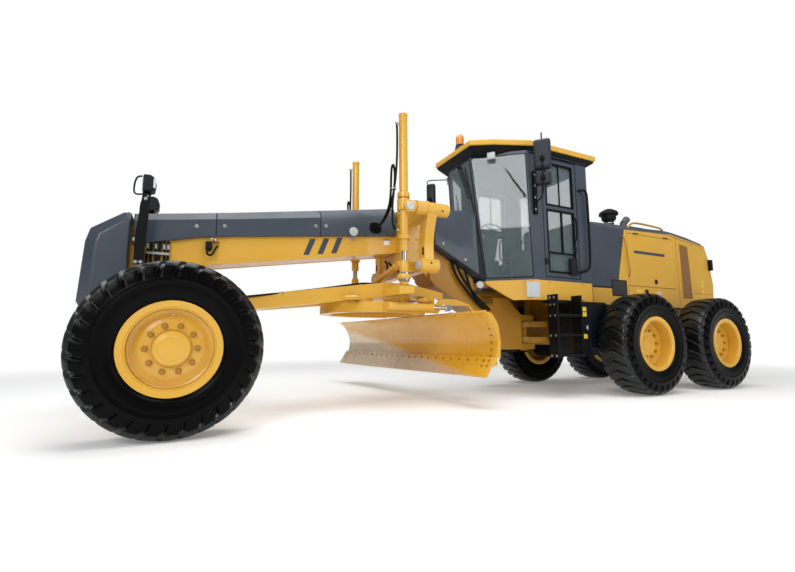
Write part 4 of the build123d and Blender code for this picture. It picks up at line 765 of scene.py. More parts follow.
def beam_details():
    """Welded bottom flange, hoses that come down behind the nose, and fittings on the beam's side."""
    lower, upper = 1.4, 1.8
    flange = ((0.41, lower - 0.004), (-2.37, upper - 0.004), (-2.37, upper + 0.018), (0.41, lower + 0.018))
    piece("beam_lower_flange", [prism("y", flange, y, y + 0.012) for y in (0.1651, -0.1771)], "enamel",
          FRONT, bevel=0.003)
    hoses("axle_supply_hoses",
          [(0.0115,
            ((x, 0.181, 1.7), (x + lean * 0.3, 0.184, 1.6), (x + lean, 0.182, 1.48),
             (x + lean * 1.4, 0.176, 1.34), (x + lean, 0.165, 1.2), (x * 0.6, 0.12, 1.06)))
           for x, lean in ((0.272, 0.006), (0.24, 0.004), (0.205, -0.004), (0.17, 0.006), (0.135, -0.006),
               (0.098, 0.0))], "hose_rubber", FRONT, 3)
    piece("supply_hose_clamp",
          [block((0.085, 0.165, 1.56), (0.285, 0.17, 1.585)),
           block((0.085, 0.197, 1.56), (0.285, 0.2, 1.585))], "zinc", FRONT, bevel=0.002)
    piece("supply_hose_ends",
          [rod((x, 0.183, 1.615), (x, 0.183, 1.665), 0.017, 6) for x in (0.272, 0.205, 0.135, 0.098)],
          "zinc", FRONT, bevel=0.002)
    piece("brake_valve",
          [rod((-0.262, 0.166, 1.668), (-0.262, 0.225, 1.668), 0.034),
           rod((-0.262, 0.225, 1.668), (-0.262, 0.25, 1.668), 0.022),
           block((-0.292, 0.166, 1.69), (-0.232, 0.205, 1.735)),
           rod((-0.31, 0.19, 1.72), (-0.31, 0.19, 1.76), 0.01, 8)], "plastic", FRONT, bevel=0.004)
    piece("brake_valve_cap",
          [turned(((0, 0.012), (0.012, 0.014), (0.018, 0.011), (0.02, 0.0)), (-0.345, 0.175, 1.735),
               (0, 1, 0), 16), rod((-0.345, 0.165, 1.735), (-0.345, 0.176, 1.735), 0.006, 8)], "red_enamel",
          FRONT)
    piece("brake_valve_ports",
          [turned(((0, 0.01), (0.014, 0.012), (0.022, 0.009), (0.023, 0.0)), place, (0, 1, 0.3), 8)
           for place in ((-0.285, 0.2, 1.755), (-0.315, 0.195, 1.748))], "silver", FRONT, bevel=0.001)
    hoses("brake_valve_hose",
          [(0.01,
            ((-0.262, 0.215, 1.655), (-0.235, 0.245, 1.61), (-0.262, 0.235, 1.575), (-0.31, 0.215, 1.6),
             (-0.325, 0.185, 1.68), (-0.35, 0.168, 1.7)))], "hose_rubber", FRONT)
    bars = []
    for x in (-1.29, -1.45, -1.61):
        z = 1.684 - BEAM_SLOPE * (x + 1.29)
        bars.append(prism("y",
                ((x + 0.055, z), (x - 0.01, z + 0.004), (x - 0.085, z + 0.195), (x - 0.02, z + 0.191)),
                0.1652, 0.1662))
    piece("plain_beam_stripes", bars, "slate", FRONT)
    piece("beam_notice_plate",
          [prism("y", ((-2.225, 1.889), (-2.225, 1.945), (-2.3, 1.952), (-2.3, 1.896)), 0.1651, 0.167)],
          "white_plate", FRONT, bevel=0.0006)
    piece("beam_notice_edge",
          [prism("y", ((-2.22, 1.946), (-2.22, 1.958), (-2.305, 1.966), (-2.305, 1.954)), 0.1651, 0.1675)],
          "red_enamel", FRONT)
    piece("side_reflector",
          [turned(((0, 0.02), (0.01, 0.02), (0.012, 0.05), (0.03, 0.053), (0.036, 0.049), (0.038, 0.042),
                   (0.0385, 0.0)), (-1.809, 0.206, 1.996), (0.1, 1, 0), 36)], "silver", FRONT, angle=40.0)
    piece("side_reflector_bracket",
          [block((-1.835, 0.165, 1.905), (-1.783, 0.172, 1.965)),
           block((-1.822, 0.165, 1.955), (-1.796, 0.215, 1.962)),
           block((-1.822, 0.206, 1.955), (-1.796, 0.213, 1.995))], "zinc", FRONT, bevel=0.002)
    # A thin dark sheet on each side of the cover is painted shade inside the hose opening.
    hole = []
    for k in range(20):
        c, s = math.cos(math.pi * k / 10), math.sin(math.pi * k / 10)
        hole.append((-2.095 + 0.078 * math.copysign(abs(c) ** 0.7, c),
                2.078 + 0.068 * math.copysign(abs(s) ** 0.7, s)))
    piece("cover_hose_opening_shade", [prism("y", hole, y, y + 0.0012) for y in (0.2061, -0.2073)], "seal_rubber",
          FRONT)


def headlights():
    """Flat posts that widen downwards, and a shrouded lamp with a guard loop on each."""
    post = ((0.371, 1.425), (0.288, 1.432), (0.279, 1.71), (0.267, 2.06), (0.267, 2.12), (0.33, 2.12),
        (0.337, 2.06), (0.371, 1.71))
    posts = [prism("y", post, 0.341, 0.349),
        prism("y", ((0.371, 1.43), (0.288, 1.43), (0.282, 1.7), (0.369, 1.7)), 0.338, 0.3409),
        block((0.364, 0.318, 1.45), (0.372, 0.341, 1.72)), block((0.3, 0.16, 1.46), (0.36, 0.341, 1.472)),
        block((0.3, 0.205, 1.6), (0.36, 0.341, 1.612)), block((0.36, 0.205, 1.46), (0.366, 0.341, 1.612))]
    housing = ((0.33, 2.105), (0.33, 2.27), (0.275, 2.272), (0.243, 2.255), (0.225, 2.205), (0.235, 2.125))
    housings = [prism("y", housing, 0.272, 0.42), block((0.262, 0.325, 2.085), (0.322, 0.367, 2.112))]
    lenses = [block((0.33, 0.284, 2.118), (0.338, 0.408, 2.258)),
        block((0.226, 0.402, 2.145), (0.246, 0.427, 2.235))]
    loop = ((0.322, 2.268), (0.375, 2.272), (0.398, 2.235), (0.406, 2.15), (0.404, 2.085), (0.365, 2.088),
        (0.322, 2.1))
    guards = [(0.008, upright(side * 0.345, loop)) for side in (1, -1)]
    feet = [((x, 0.3492, z), (0, 1, 0))
        for x, z in ((0.352, 1.452), (0.312, 1.454), (0.305, 2.055), (0.29, 2.09))]
    feet += [((x, -y, z), (0, -1, 0)) for (x, y, z), _ in feet]
    piece("headlight_stands", mirrored(posts), "black_enamel", FRONT, bevel=0.003,
          stands_for=("headlight_posts",))
    piece("headlight_housings", mirrored(housings), "plastic", FRONT, bevel=0.012, segments=3)
    piece("headlight_lenses", mirrored(lenses), "lens", FRONT, bevel=0.005, segments=3)
    hoses("headlight_guards", guards, "black_enamel", FRONT, 3)
    bolts("headlight_bolts", feet, "zinc", FRONT, 0.011, 0.008)


nose_and_covers()
beam_details()
headlights()

# ---- blade lift cylinders and saddle ----
LIFT_X, LIFT_Y, TRUNNION_Z = -2.2, 0.75, 2.22
# x, distance out from the inner hose's middle, height
NECK_HOSE = ((-3.12, -0.02, 1.96), (-3.15, 0.0, 1.8), (-3.185, 0.01, 1.63), (-3.26, 0.015, 1.5),
    (-3.37, 0.015, 1.385), (-3.48, 0.01, 1.275), (-3.6, 0.0, 1.175), (-3.7, -0.02, 1.12))


def lift_side(side, word):
    """Caps, glands and hoses of one lift cylinder."""
    barrel_body, rod_body = word + "_lift_barrel", word + "_lift_rod"
    y = side * LIFT_Y
    piece(word + "_lift_barrel_trim",
          [ring(((0, 0.046), (0, 0.0505), (0.03, 0.0505), (0.034, 0.047), (0.034, 0.046)),
                (LIFT_X, y, 3.258), (0, 0, 1), 32),
           ring(((0, 0.058), (0, 0.068), (0.05, 0.068), (0.055, 0.062), (0.055, 0.058)), (LIFT_X, y, 2.305),
                (0, 0, 1), 32),
           ring(((0, 0.057), (0, 0.067), (0.045, 0.067), (0.05, 0.062), (0.05, 0.057)), (LIFT_X, y, 1.83),
                (0, 0, 1), 32)], "enamel", barrel_body, bevel=0.002)
    boss = [rod((-2.225, y + side * 0.045, TRUNNION_Z - 0.03),
            (-2.225, y + side * 0.105, TRUNNION_Z - 0.03), 0.066, 32)]
    piece(word + "_trunnion_boss", boss, "enamel", barrel_body, bevel=0.008, segments=3)
    piece(word + "_trunnion_cap",
          [turned(((0, 0.046), (0.01, 0.048), (0.014, 0.044), (0.015, 0.012), (0.011, 0.01), (0.011, 0.0)),
               (-2.225, y + side * 0.105, TRUNNION_Z - 0.03), (0, side, 0), 28)], "silver", barrel_body)
    fittings = [rod((LIFT_X + 0.058, y, z), (LIFT_X + 0.095, y, z), 0.016, 6) for z in (3.17, 1.93)]
    fittings.append(rod((LIFT_X + 0.078, y, 3.14), (LIFT_X + 0.078, y, 3.18), 0.014, 6))
    piece(word + "_lift_fittings", fittings, "zinc", barrel_body, bevel=0.002)
    # forward and inward of the barrel's axis, and height
    routes = {"upper": ((0.08, 0.0, 3.15), (0.078, -0.004 * side, 3.05), (0.076, 0.0, 2.9),
            (0.08, 0.004, 2.7), (0.09, 0.02, 2.5), (0.098, 0.06, 2.36), (0.075, 0.16, 2.27),
            (0.05, 0.3, 2.19), (0.06, 0.42, 2.125), (0.075, 0.55, 2.085)),
        "lower": ((0.09, 0.0, 1.93), (0.13, 0.01, 1.95), (0.125, 0.03, 2.08), (0.115, 0.05, 2.24),
            (0.1, 0.035, 2.4), (0.085, 0.035, 2.56), (0.11, 0.02, 2.7), (0.135, 0.03, 2.66),
            (0.13, 0.05, 2.5), (0.11, 0.1, 2.33), (0.085, 0.22, 2.21), (0.085, 0.38, 2.11),
            (0.105, 0.54, 2.055))}
    for line, route in routes.items():
        places = [(LIFT_X + forward, y - side * inward, z) for forward, inward, z in route]
        hoses(word + "_lift_hose_" + line, [(0.0125, places)], "hose_rubber", barrel_body, 3)
    piece(word + "_lift_hose_ties",
          [ring(oblong(0, 0.03, 0.018, 0.034), (LIFT_X + 0.108, y - side * 0.045, 2.4), (0.1, 0, 1), 16)],
          "zinc", barrel_body)
    piece(word + "_lift_rod_eye",
          [turned(((0, 0.046), (0.02, 0.05), (0.12, 0.05), (0.16, 0.04), (0.165, 0.0)), (LIFT_X, y, 1.435),
               (0, 0, 1), 28),
           ring(((0, 0.03), (0, 0.072), (0.012, 0.078), (0.035, 0.078), (0.05, 0.07), (0.05, 0.03)),
                (LIFT_X, y, 1.392), (0, 0, 1), 32)], "enamel", rod_body, bevel=0.003)


def saddle_details():
    """Bearing caps on the saddle's arms, their silver pins, and thin dark sheets painted as the shade in the
    slots and holes of the arms.
    """
    caps = [turned(((0, 0.085), (0.016, 0.085), (0.026, 0.076), (0.028, 0.0)), (-2.66, 0.65, 1.58),
            (-1, 0, 0), 32),
        ring(((0, 0.079), (0, 0.088), (0.022, 0.088), (0.026, 0.084), (0.026, 0.079)), (-2.5, 0.75, 2.22),
             (1, 0, 0), 36)]
    slot = []
    for k in range(16):
        angle = 2 * math.pi * k / 16
        slot.append((0.665 + 0.02 * math.cos(angle),
                1.745 + 0.016 * math.sin(angle) + math.copysign(0.032, math.sin(angle + 1e-6))))
    slots = [prism("x", slot, -2.4905, -2.4893), rod((-2.66, 0.83, 2.19), (-2.66, 0.8312, 2.19), 0.011, 16),
        rod((-2.56, 0.7348, 1.6), (-2.56, 0.7362, 1.6), 0.012, 16)]
    piece("saddle_bearing_caps", mirrored(caps), "enamel", FRONT, bevel=0.003)
    piece("saddle_slot_shade", mirrored(slots), "seal_rubber", FRONT)
    head = turned(
        ((0, 0.056), (0.014, 0.056), (0.018, 0.05), (0.0185, 0.016), (0.014, 0.014), (0.014, 0.0)),
        (-2.44, 0.65, 1.58), (1, 0, 0), 28)
    piece("saddle_pin_heads", mirrored([head]), "silver", FRONT)
    rims = [((-2.399, side * y, z), (1, 0, 0)) for side in (1, -1) for y in (0.2, 0.245)
        for z in (1.68, 1.8, 1.92, 2.04, 2.16, 2.28)]
    rims += [((x, side * 0.2705, z), (0, side, 0)) for side in (1, -1) for x in (-2.44, -2.64)
        for z in (1.7, 1.84, 1.98, 2.12, 2.26)]
    bolts("saddle_bolts", rims, "enamel", FRONT, 0.014, 0.012)


def neck_hoses():
    """Three hoses that leave the neck cover and go into the neck below the cab's front."""
    routes = []
    for back, lift in ((0.0, 0.0), (0.045, 0.03)):
        line = [(x - back, 0.232 + back * 0.4 + out, z + lift) for x, out, z in NECK_HOSE]
        routes.append((0.0165, line + [(-3.84, 0.15, 1.08 + lift)]))
    routes.append((0.0165,
            ((-3.33, 0.225, 1.8), (-3.36, 0.24, 1.66), (-3.395, 0.245, 1.52), (-3.45, 0.245, 1.38),
             (-3.54, 0.24, 1.25), (-3.66, 0.23, 1.15), (-3.8, 0.15, 1.1))))
    hoses("neck_hoses", routes, "hose_rubber", FRONT, 3)


for side, word in SIDES:
    lift_side(side, word)
saddle_details()
neck_hoses()

# ---- drawbar, circle and blade ----
BLADE_TURN = math.radians(5.4)
CIRCLE_X = -2.15
MOTOR_X = -2.6
EDGE_FOOT, EDGE_DOWN, EDGE_OUT = (-0.7, 0.54), (0.536, -0.844), (0.844, 0.536)


def blade_at(u, v, w):
    """Datum point from the blade's own forward, left and up."""
    c, s = math.cos(BLADE_TURN), math.sin(BLADE_TURN)
    return -2.25 + u * c - v * s, u * s + v * c, w


def on_edge(down, out, v):
    return blade_at(EDGE_FOOT[0] + EDGE_DOWN[0] * down + EDGE_OUT[0] * out, v,
        EDGE_FOOT[1] + EDGE_DOWN[1] * down + EDGE_OUT[1] * out)


def edge_slab(down, out, v):
    """A plate laid on the cutting edge between two distances down it, out from it and along it."""
    corners = [[on_edge(d, o, side)
            for d, o in ((down[0], out[0]), (down[1], out[0]), (down[1], out[1]), (down[0], out[1]))]
        for side in v]
    return layered(corners)


def blade_details():
    facing = (EDGE_OUT[0] * math.cos(BLADE_TURN), EDGE_OUT[0] * math.sin(BLADE_TURN), EDGE_OUT[1])
    spots = [(on_edge(0.048, 0.0215, -2.325 + 0.1515 * k), facing) for k in range(24)]
    bolts("edge_bolts", spots, "shade_yellow_enamel", "blade", 0.012, 0.007)
    ends = [edge_slab((0.012, 0.241), (0.0222, 0.034), v) for v in ((1.095, 1.258), (-2.398, -2.235))]
    piece("blade_end_bits", ends, "blade_enamel", "blade", bevel=0.003)
    bolts("end_bit_bolts",
          [(on_edge(down, 0.034, v), facing) for v in (1.135, 1.215, -2.275, -2.355)
           for down in (0.055, 0.12)], "shade_yellow_enamel", "blade", 0.012, 0.007)
    face = ((-0.7035, 0.56), (-0.7145, 0.625), (-0.7215, 0.7), (-0.7165, 0.78), (-0.6985, 0.85),
        (-0.6695, 0.915), (-0.629, 0.97), (-0.579, 1.015))
    normals = [((b[1] - a[1]), -(b[0] - a[0])) for a, b in zip(face, face[1:] + ((-0.52, 1.06),))]
    spots = []
    for (u, w), (nu, nw) in zip(face, normals):
        spots.append((blade_at(u, 1.175, w), (nu * math.cos(BLADE_TURN), nu * math.sin(BLADE_TURN), nw)))
    bolts("blade_face_bolts", spots, "shade_yellow_enamel", "blade", 0.01, 0.006)
    piece("edge_joint", [edge_slab((0.001, 0.242), (0.0215, 0.0226), (-0.572, -0.568))], "seal_rubber",
          "blade")
    ribs = []
    for v in (-2.33, -1.72, -1.1, 1.235):
        outline = [(-0.592, 1.035), (-0.645, 0.96), (-0.7, 0.89), (-0.745, 0.8), (-0.7585, 0.72),
            (-0.748, 0.62), (-0.726, 0.535), (-0.79, 0.535), (-0.8, 0.72), (-0.77, 0.9), (-0.68, 1.02)]
        ribs.append(layered([[blade_at(u, side, w) for u, w in outline] for side in (v - 0.006, v + 0.006)]))
    piece("blade_back_ribs", ribs, "enamel", "blade", bevel=0.003)
    weld = rod(blade_at(-0.548, 1.259, 1.03), blade_at(-0.548, -2.399, 1.03), 0.008, 10)
    piece("blade_top_weld", [weld], "enamel", "blade")
    nut = rod(blade_at(-0.87, -2.17, 0.73), blade_at(-0.87, -2.185, 0.73), 0.034, 6)
    piece("side_shift_nut", [nut], "zinc", "blade", bevel=0.003)


def carrier_details():
    spots = []
    for v in (-0.4685, 0.5915):
        side = 1 if v > 0 else -1
        face = v if v > 0 else -0.4705
        for u, w in ((-0.82, 0.465), (-0.95, 0.5), (-0.9, 0.93), (-0.8, 0.96), (-0.8, 0.585)):
            spots.append(
                (blade_at(u, face, w), (-math.sin(BLADE_TURN) * side, math.cos(BLADE_TURN) * side, 0)))
    bolts("carrier_bolts", spots, "zinc", "carrier_body", 0.015, 0.012)


def circle_details():
    repeated("circle_bolt_ring",
        [turned(((0, 0.016), (0.006, 0.016), (0.008, 0.013), (0.0085, 0.0)), (CIRCLE_X + 0.607, 0, 1.1475),
             (0, 0, 1), 6)], AROUND_TREE, "zinc", "circle_body",
        {"Count": 30, "Axle": (0, 0, 1), "Centre": at(CIRCLE_X, 0, 0)}, bevel=0.001)
    shoes, spots = [], []
    for quarter in (48, 132, 228, 312):
        a = math.radians(quarter)
        out, side = Vector((math.cos(a), math.sin(a), 0)), Vector((-math.sin(a), math.cos(a), 0))
        shoes.append(layered([[tuple(Vector((CIRCLE_X, 0, height)) + out * r + side * s)
                        for r, s in oblong(near, -half, far, half)]
                    for height, near, far, half in ((1.165, 0.6, 0.735, 0.075), (1.195, 0.6, 0.735, 0.075),
                        (1.215, 0.625, 0.72, 0.06))]))
        spots += [(tuple(Vector((CIRCLE_X, 0, 1.2155)) + out * 0.672 + side * s), (0, 0, 1))
            for s in (-0.035, 0.035)]
    piece("circle_guide_shoes", shoes, "enamel", "drawbar_body", bevel=0.004)
    bolts("guide_shoe_bolts", spots, "zinc", "drawbar_body", 0.013, 0.012)
    motor = [turned(((0, 0.07), (0.01, 0.07), (0.014, 0.068), (0.02, 0.064), (0.024, 0.062)),
            (MOTOR_X, 0, 1.385), (0, 0, 1), 36),
        turned(((0, 0.062), (0.006, 0.062), (0.008, 0.05), (0.01, 0.05), (0.012, 0.046), (0.013, 0.0)),
            (MOTOR_X, 0, 1.4), (0, 0, 1), 36)]
    piece("turning_motor", motor, "black_enamel", "drawbar_body")
    bolts("turning_motor_bolts",
          [((MOTOR_X + 0.056 * math.cos(a), 0.056 * math.sin(a), 1.4055), (0, 0, 1))
           for a in [math.pi * k / 3 for k in range(6)]], "zinc", "drawbar_body", 0.009, 0.007)
    piece("turning_motor_ports",
          [rod((-2.56, s * 0.03, 1.395), (-2.51, s * 0.045, 1.395), 0.014, 6) for s in (1, -1)], "zinc",
          "drawbar_body")
    lines = []
    for s in (1, -1):
        lines.append((0.0115,
                ((-2.512, s * 0.044, 1.395), (-2.46, s * 0.085, 1.394), (-2.39, s * 0.16, 1.392),
                 (-2.2, s * 0.24, 1.39), (-1.95, s * 0.3, 1.388), (-1.8, s * 0.355, 1.365),
                 (-1.4, s * 0.315, 1.292), (-1.0, s * 0.26, 1.235), (-0.6, s * 0.203, 1.18),
                 (-0.2, s * 0.152, 1.124), (0.02, s * 0.115, 1.1))))
    hoses("drawbar_hoses", lines, "hose_rubber", "drawbar_body", 3)
    clips = [block((x - 0.012, s * y - 0.022, z - 0.012), (x + 0.012, s * y + 0.022, z + 0.0145))
        for s in (1, -1) for x, y, z in ((-1.4, 0.315, 1.292), (-1.0, 0.26, 1.235), (-0.6, 0.203, 1.18))]
    piece("drawbar_hose_clips", clips, "zinc", "drawbar_body", bevel=0.003)


def shift_details():
    """Gland, ports and the hoses that loop up from the centre-shift cylinder."""
    high, low = Vector((-2.29, 0.45, 1.6)), Vector((-2.29, -0.205, 1.495))
    along = (low - high).normalized()
    r = 0.048
    shells = [ring(((0, 0.036), (0, r), (0.04, r), (0.045, r - 0.005), (0.045, 0.036)),
            tuple(high + along * 0.06), along, 32),
        ring(((0, 0.036), (0, r), (0.05, r), (0.055, r - 0.005), (0.055, 0.036)), tuple(low - along * 0.06),
             along, 32)]
    piece("shift_cylinder_collars", shells, "enamel", "shift_cylinder_barrel", bevel=0.002)
    first, last = high + along * 0.12, low - along * 0.11
    piece("shift_cylinder_ports",
          [rod(tuple(p + Vector((-0.02, 0, 0.02))), tuple(p + Vector((-0.05, 0, 0.05))), 0.014, 6)
           for p in (first, last)], "zinc", "shift_cylinder_barrel")
    a, b = first + Vector((-0.05, 0, 0.05)), last + Vector((-0.05, 0, 0.05))
    bends = (((0, 0, 0), (-0.05, 0.02, 0.03), (-0.08, 0.06, -0.03), (-0.06, 0.08, -0.11),
              (-0.02, 0.03, -0.12), (-0.03, -0.1, -0.06), (-0.02, -0.2, 0.0), (0.01, -0.26, 0.06)),
        ((0, 0, 0), (-0.03, 0.01, 0.04), (-0.04, 0.04, 0.09), (-0.02, 0.07, 0.13), (0.02, 0.09, 0.16)))
    lines = [(0.0125, tuple(tuple(start + Vector(bend)) for bend in route))
        for start, route in zip((a, b), bends)]
    hoses("shift_cylinder_hoses", lines, "hose_rubber", "shift_cylinder_barrel", 3)


blade_details()
carrier_details()
circle_details()
shift_details()

# ---- cab ----
CAB_FLOOR_Z, ROOF_Z, SILL_Z, WINDOW_TOP_Z = 1.5, 3.23, 1.555, 3.165
CAB_HALF_WIDTH, CAB_REAR_X = 0.75, -5.14


# the angled front at floor level: x and half width, then what both lose or gain up to the roof
FRONT_X, FRONT_LEAN, FRONT_HALF, FRONT_NARROWING = -3.614, 0.15, 0.354, 0.08
PANE_RUN = 1.18939  # how far an angled pane runs back for each metre out


def cab_front(z):
    """X, half width and rear corner x of the angled front at a height."""
    share = (z - CAB_FLOOR_Z) / (ROOF_Z - CAB_FLOOR_Z)
    x, half = FRONT_X + share * FRONT_LEAN, FRONT_HALF - share * FRONT_NARROWING
    return x, half, x - PANE_RUN * (CAB_HALF_WIDTH - half)


def framed(corners, width, normal, front, back):
    """A flat picture-frame shell: outer corners, border width, and how far it stands out and in."""
    corners = [Vector(c) for c in corners]
    inner = []
    for i, corner in enumerate(corners):
        before = (corners[i - 1] - corner).normalized()
        after = (corners[(i + 1) % 4] - corner).normalized()
        sine = before.cross(after).length
        inner.append(corner + (before + after) * width / sine)
    normal = Vector(normal).normalized()
    points = [at(*(c + normal * depth)) for depth in (front, back) for ring_points in (corners, inner)
        for c in ring_points]
    faces = []
    for i in range(4):
        j = (i + 1) % 4
        faces += [(i, j, 4 + j, 4 + i), (8 + i, 12 + i, 12 + j, 8 + j), (i, 8 + i, 8 + j, j),
            (4 + i, 4 + j, 12 + j, 12 + i)]
    return points, faces


def front_pane(side, margin):
    """Corners of the windscreen (side 0) or an angled pane, low near, low far, high far, high near."""
    rows = []
    for z in (SILL_Z + margin, WINDOW_TOP_Z - margin):
        x, half, corner = cab_front(z)
        near, far = (Vector((x, half * side, z)), Vector((corner, CAB_HALF_WIDTH * side, z))) if side else (
            Vector((x, -half, z)), Vector((x, half, z)))
        along = (far - near).normalized() * (0.032 + margin)
        rows.append((near + along, far - along))
    (a, b), (d, c) = rows
    return [a, b, c, d]


def outward(corners):
    normal = (corners[1] - corners[0]).cross(corners[3] - corners[0]).normalized()
    return -normal if normal.x < 0 else normal


def cab_seals():
    shells, panes = [], []
    for side in (0, 1, -1):
        corners = front_pane(side, -0.024)
        shells.append(framed(corners, 0.012, outward(corners), 0.008, 0.0005))
        glass = front_pane(side, -0.014)
        facing = outward(glass)
        panes.append(layered([[tuple(c + facing * depth) for c in glass] for depth in (0.001, 0.006)]))
    rear = [Vector((CAB_REAR_X, y, z)) for y, z in oblong(-0.622, 1.683, 0.622, 3.142)]
    shells.append(framed(rear, 0.014, (-1, 0, 0), 0.008, 0.0005))
    panes.append(layered([[(x, y, z) for y, z in oblong(-0.61, 1.695, 0.61, 3.13)]
                for x in (CAB_REAR_X - 0.006, CAB_REAR_X - 0.001)]))
    piece("cab_bonded_panes", panes, "glass", REAR, bevel=0.001, stands_for=("cab_glass",))
    piece("cab_window_seals", shells, "seal_rubber", REAR, bevel=0.003)
    panels = mirrored([prism("y", oblong(x0, 1.53, x1, 3.2), 0.7495, 0.7535)
            for x0, x1 in ((-5.128, -4.934), (-4.268, -4.1))])
    piece("cab_pillar_skins", panels, "slate", REAR, bevel=0.003)
    drip = mirrored([prism("y", oblong(-5.13, 3.196, -4.08, 3.214), 0.7495, 0.764)])
    piece("cab_drip_rails", drip, "black_enamel", REAR, bevel=0.002)


def door(side, word):
    """Door frame with its rail, one glass behind it, seals, hinges, lock and pull."""
    body = word + "_cab_door"
    y = side * CAB_HALF_WIDTH
    corner = upright(y, oblong(-4.912, 1.553, -4.288, 3.182))
    rail = upright(y, oblong(-4.853, 2.465, -4.347, 2.53))
    frame_shell = framed(corner, 0.06, (0, side, 0), 0.0, -0.05)
    rail_shell = prism("y", [(v.x, v.z) for v in rail], y - side * 0.05, y - side * 0.001)
    piece(word + "_door_frame", [frame_shell, rail_shell], "slate", body, bevel=0.004,
          stands_for=("cab_door_" + word,))
    glass = plate(side, y, oblong(-4.856, 1.609, -4.344, 3.126), -0.034, -0.022)
    piece(word + "_door_glass", [glass], "glass", body, bevel=0.001, stands_for=("door_glass_" + word,))
    seals = []
    for z0, z1 in ((1.606, 2.473), (2.52, 3.129)):
        ring_corners = upright(y, oblong(-4.859, z0, -4.341, z1))
        seals.append(framed(ring_corners, 0.026, (0, side, 0), 0.003, -0.022))
    seals.append(plate(side, y, oblong(-4.835, 1.872, -4.365, 1.892), -0.024, -0.004))
    seals.append(plate(side, y, oblong(-4.612, 2.54, -4.598, 3.11), -0.024, -0.006))
    seals.append(plate(side, y, oblong(-4.64, 1.89, -4.61, 2.455), -0.024, -0.006))
    outer = upright(y, oblong(-4.922, 1.543, -4.278, 3.192))
    seals.append(framed(outer, 0.012, (0, side, 0), 0.001, -0.04))
    piece(word + "_door_seals", seals, "seal_rubber", body, bevel=0.002)
    hinges = []
    for z in (1.75, 2.9):
        hinges += [block((-4.345, y, z - 0.035), (-4.288, y + side * 0.012, z + 0.035)),
            rod((-4.284, y + side * 0.01, z - 0.045), (-4.284, y + side * 0.01, z + 0.045), 0.011, 14)]
    hinges.append(block((-4.832, y, 1.592), (-4.705, y + side * 0.046, 1.822)))
    hinges.append(block((-4.85, y, 1.9), (-4.82, y + side * 0.03, 1.99)))
    piece(word + "_door_hinges_and_lock", hinges, "plastic", body, bevel=0.006, segments=3)
    hoses(word + "_door_pull",
          [(0.011,
            ((-4.83, y, 2.06), (-4.83, y + side * 0.05, 2.06), (-4.83, y + side * 0.055, 2.16),
             (-4.83, y + side * 0.055, 2.3), (-4.83, y + side * 0.05, 2.4), (-4.83, y, 2.4)))],
          "black_enamel", body, 3)


def roof_ring(inset, z):
    left = [(-3.35 - inset, 0.43 - inset / 2), (-3.62 - inset / 2, 0.6 - inset), (-4.1, 0.79 - inset),
        (-5.315 + inset, 0.79 - inset)]
    return [(x, y, z) for x, y in left + [(x, -y) for x, y in reversed(left)]]


def roof():
    fascia = layered([roof_ring(0.012, 3.292), roof_ring(0.0, 3.3), roof_ring(0.0, 3.356),
            roof_ring(0.014, 3.37), roof_ring(0.055, 3.384), roof_ring(0.16, 3.404),
            roof_ring(0.34, 3.411)])
    piece("roof_shell", [fascia], "enamel", REAR, bevel=0.006, segments=3, stands_for=("cab_roof",))
    lining = layered([roof_ring(0.15, 3.2), roof_ring(0.125, 3.196), roof_ring(0.03, 3.262),
            roof_ring(0.014, 3.29), roof_ring(0.02, 3.3)])
    piece("roof_lining", [lining], "black_enamel", REAR, bevel=0.004)
    ribs = [prism("y", ((-5.0, 3.398), (-4.2, 3.402), (-4.2, 3.4098), (-5.0, 3.4098)), y - 0.03, y + 0.03)
        for y in (-0.4, -0.2, 0.0, 0.2, 0.4)]
    piece("roof_ribs", ribs, "enamel", REAR, bevel=0.004)
    hatch = [Vector((x, y, 3.405)) for x, y in oblong(-4.05, -0.25, -3.75, 0.25)]
    piece("roof_vent", [framed(hatch, 0.02, (0, 0, 1), 0.0048, -0.01)], "slate_matt", REAR, bevel=0.002)


def lamps_and_beacon():
    top = 3.405
    piece("beacon_base",
          [turned(((0, 0.074), (0.045, 0.074), (0.06, 0.066), (0.075, 0.064), (0.092, 0.064),
                   (0.098, 0.058), (0.1, 0.0)), (-3.5, 0, top), (0, 0, 1), 40)], "plastic", REAR,
          stands_for=("cab_lamps",))
    piece("beacon_dome",
          [turned(((0, 0.058), (0.09, 0.0575), (0.125, 0.053), (0.148, 0.041), (0.158, 0.022), (0.16, 0.0)),
               (-3.5, 0, top + 0.096), (0, 0, 1), 48)], "amber_lens", REAR, angle=50.0)
    bodies, lenses, brackets = [], [], []
    for spot, facing in (((-3.64, 0.515, 3.165), (0.75, 0.55, -0.1)),
        ((-5.255, 0.56, 3.165), (-0.9, 0.35, -0.15))):
        place = leaning(spot, facing)
        bodies.append(moved(layered([[(x, a, b) for a, b in oblong(-wide, -tall, wide, tall)]
                        for x, wide, tall in ((0.028, 0.052, 0.044), (-0.012, 0.052, 0.044),
                            (-0.045, 0.03, 0.028))]), place))
        lenses.append(moved(block((0.027, -0.045, -0.037), (0.033, 0.045, 0.037)), place))
        brackets.append(moved(block((-0.03, -0.012, 0.04), (-0.006, 0.012, 0.085)), place))
    piece("work_lamp_bodies", mirrored(bodies), "silver", REAR, bevel=0.006, segments=3)
    piece("work_lamp_lenses", mirrored(lenses), "lens", REAR, bevel=0.003)
    piece("work_lamp_brackets", mirrored(brackets), "black_enamel", REAR, bevel=0.002)


def rounded_plate(depth, wide, tall, radius, lift=0.0):
    """Outline of a round-cornered plate, across and up, at a depth."""
    points = []
    for k in range(20):
        quarter, step = divmod(k, 5)
        angle = math.pi / 2 * (quarter + step / 4)
        cy, cz = oblong(1, 1, -1, -1)[quarter]
        points.append((depth, cy * (wide - radius) + radius * math.cos(angle),
                lift + cz * (tall - radius) + radius * math.sin(angle)))
    return points


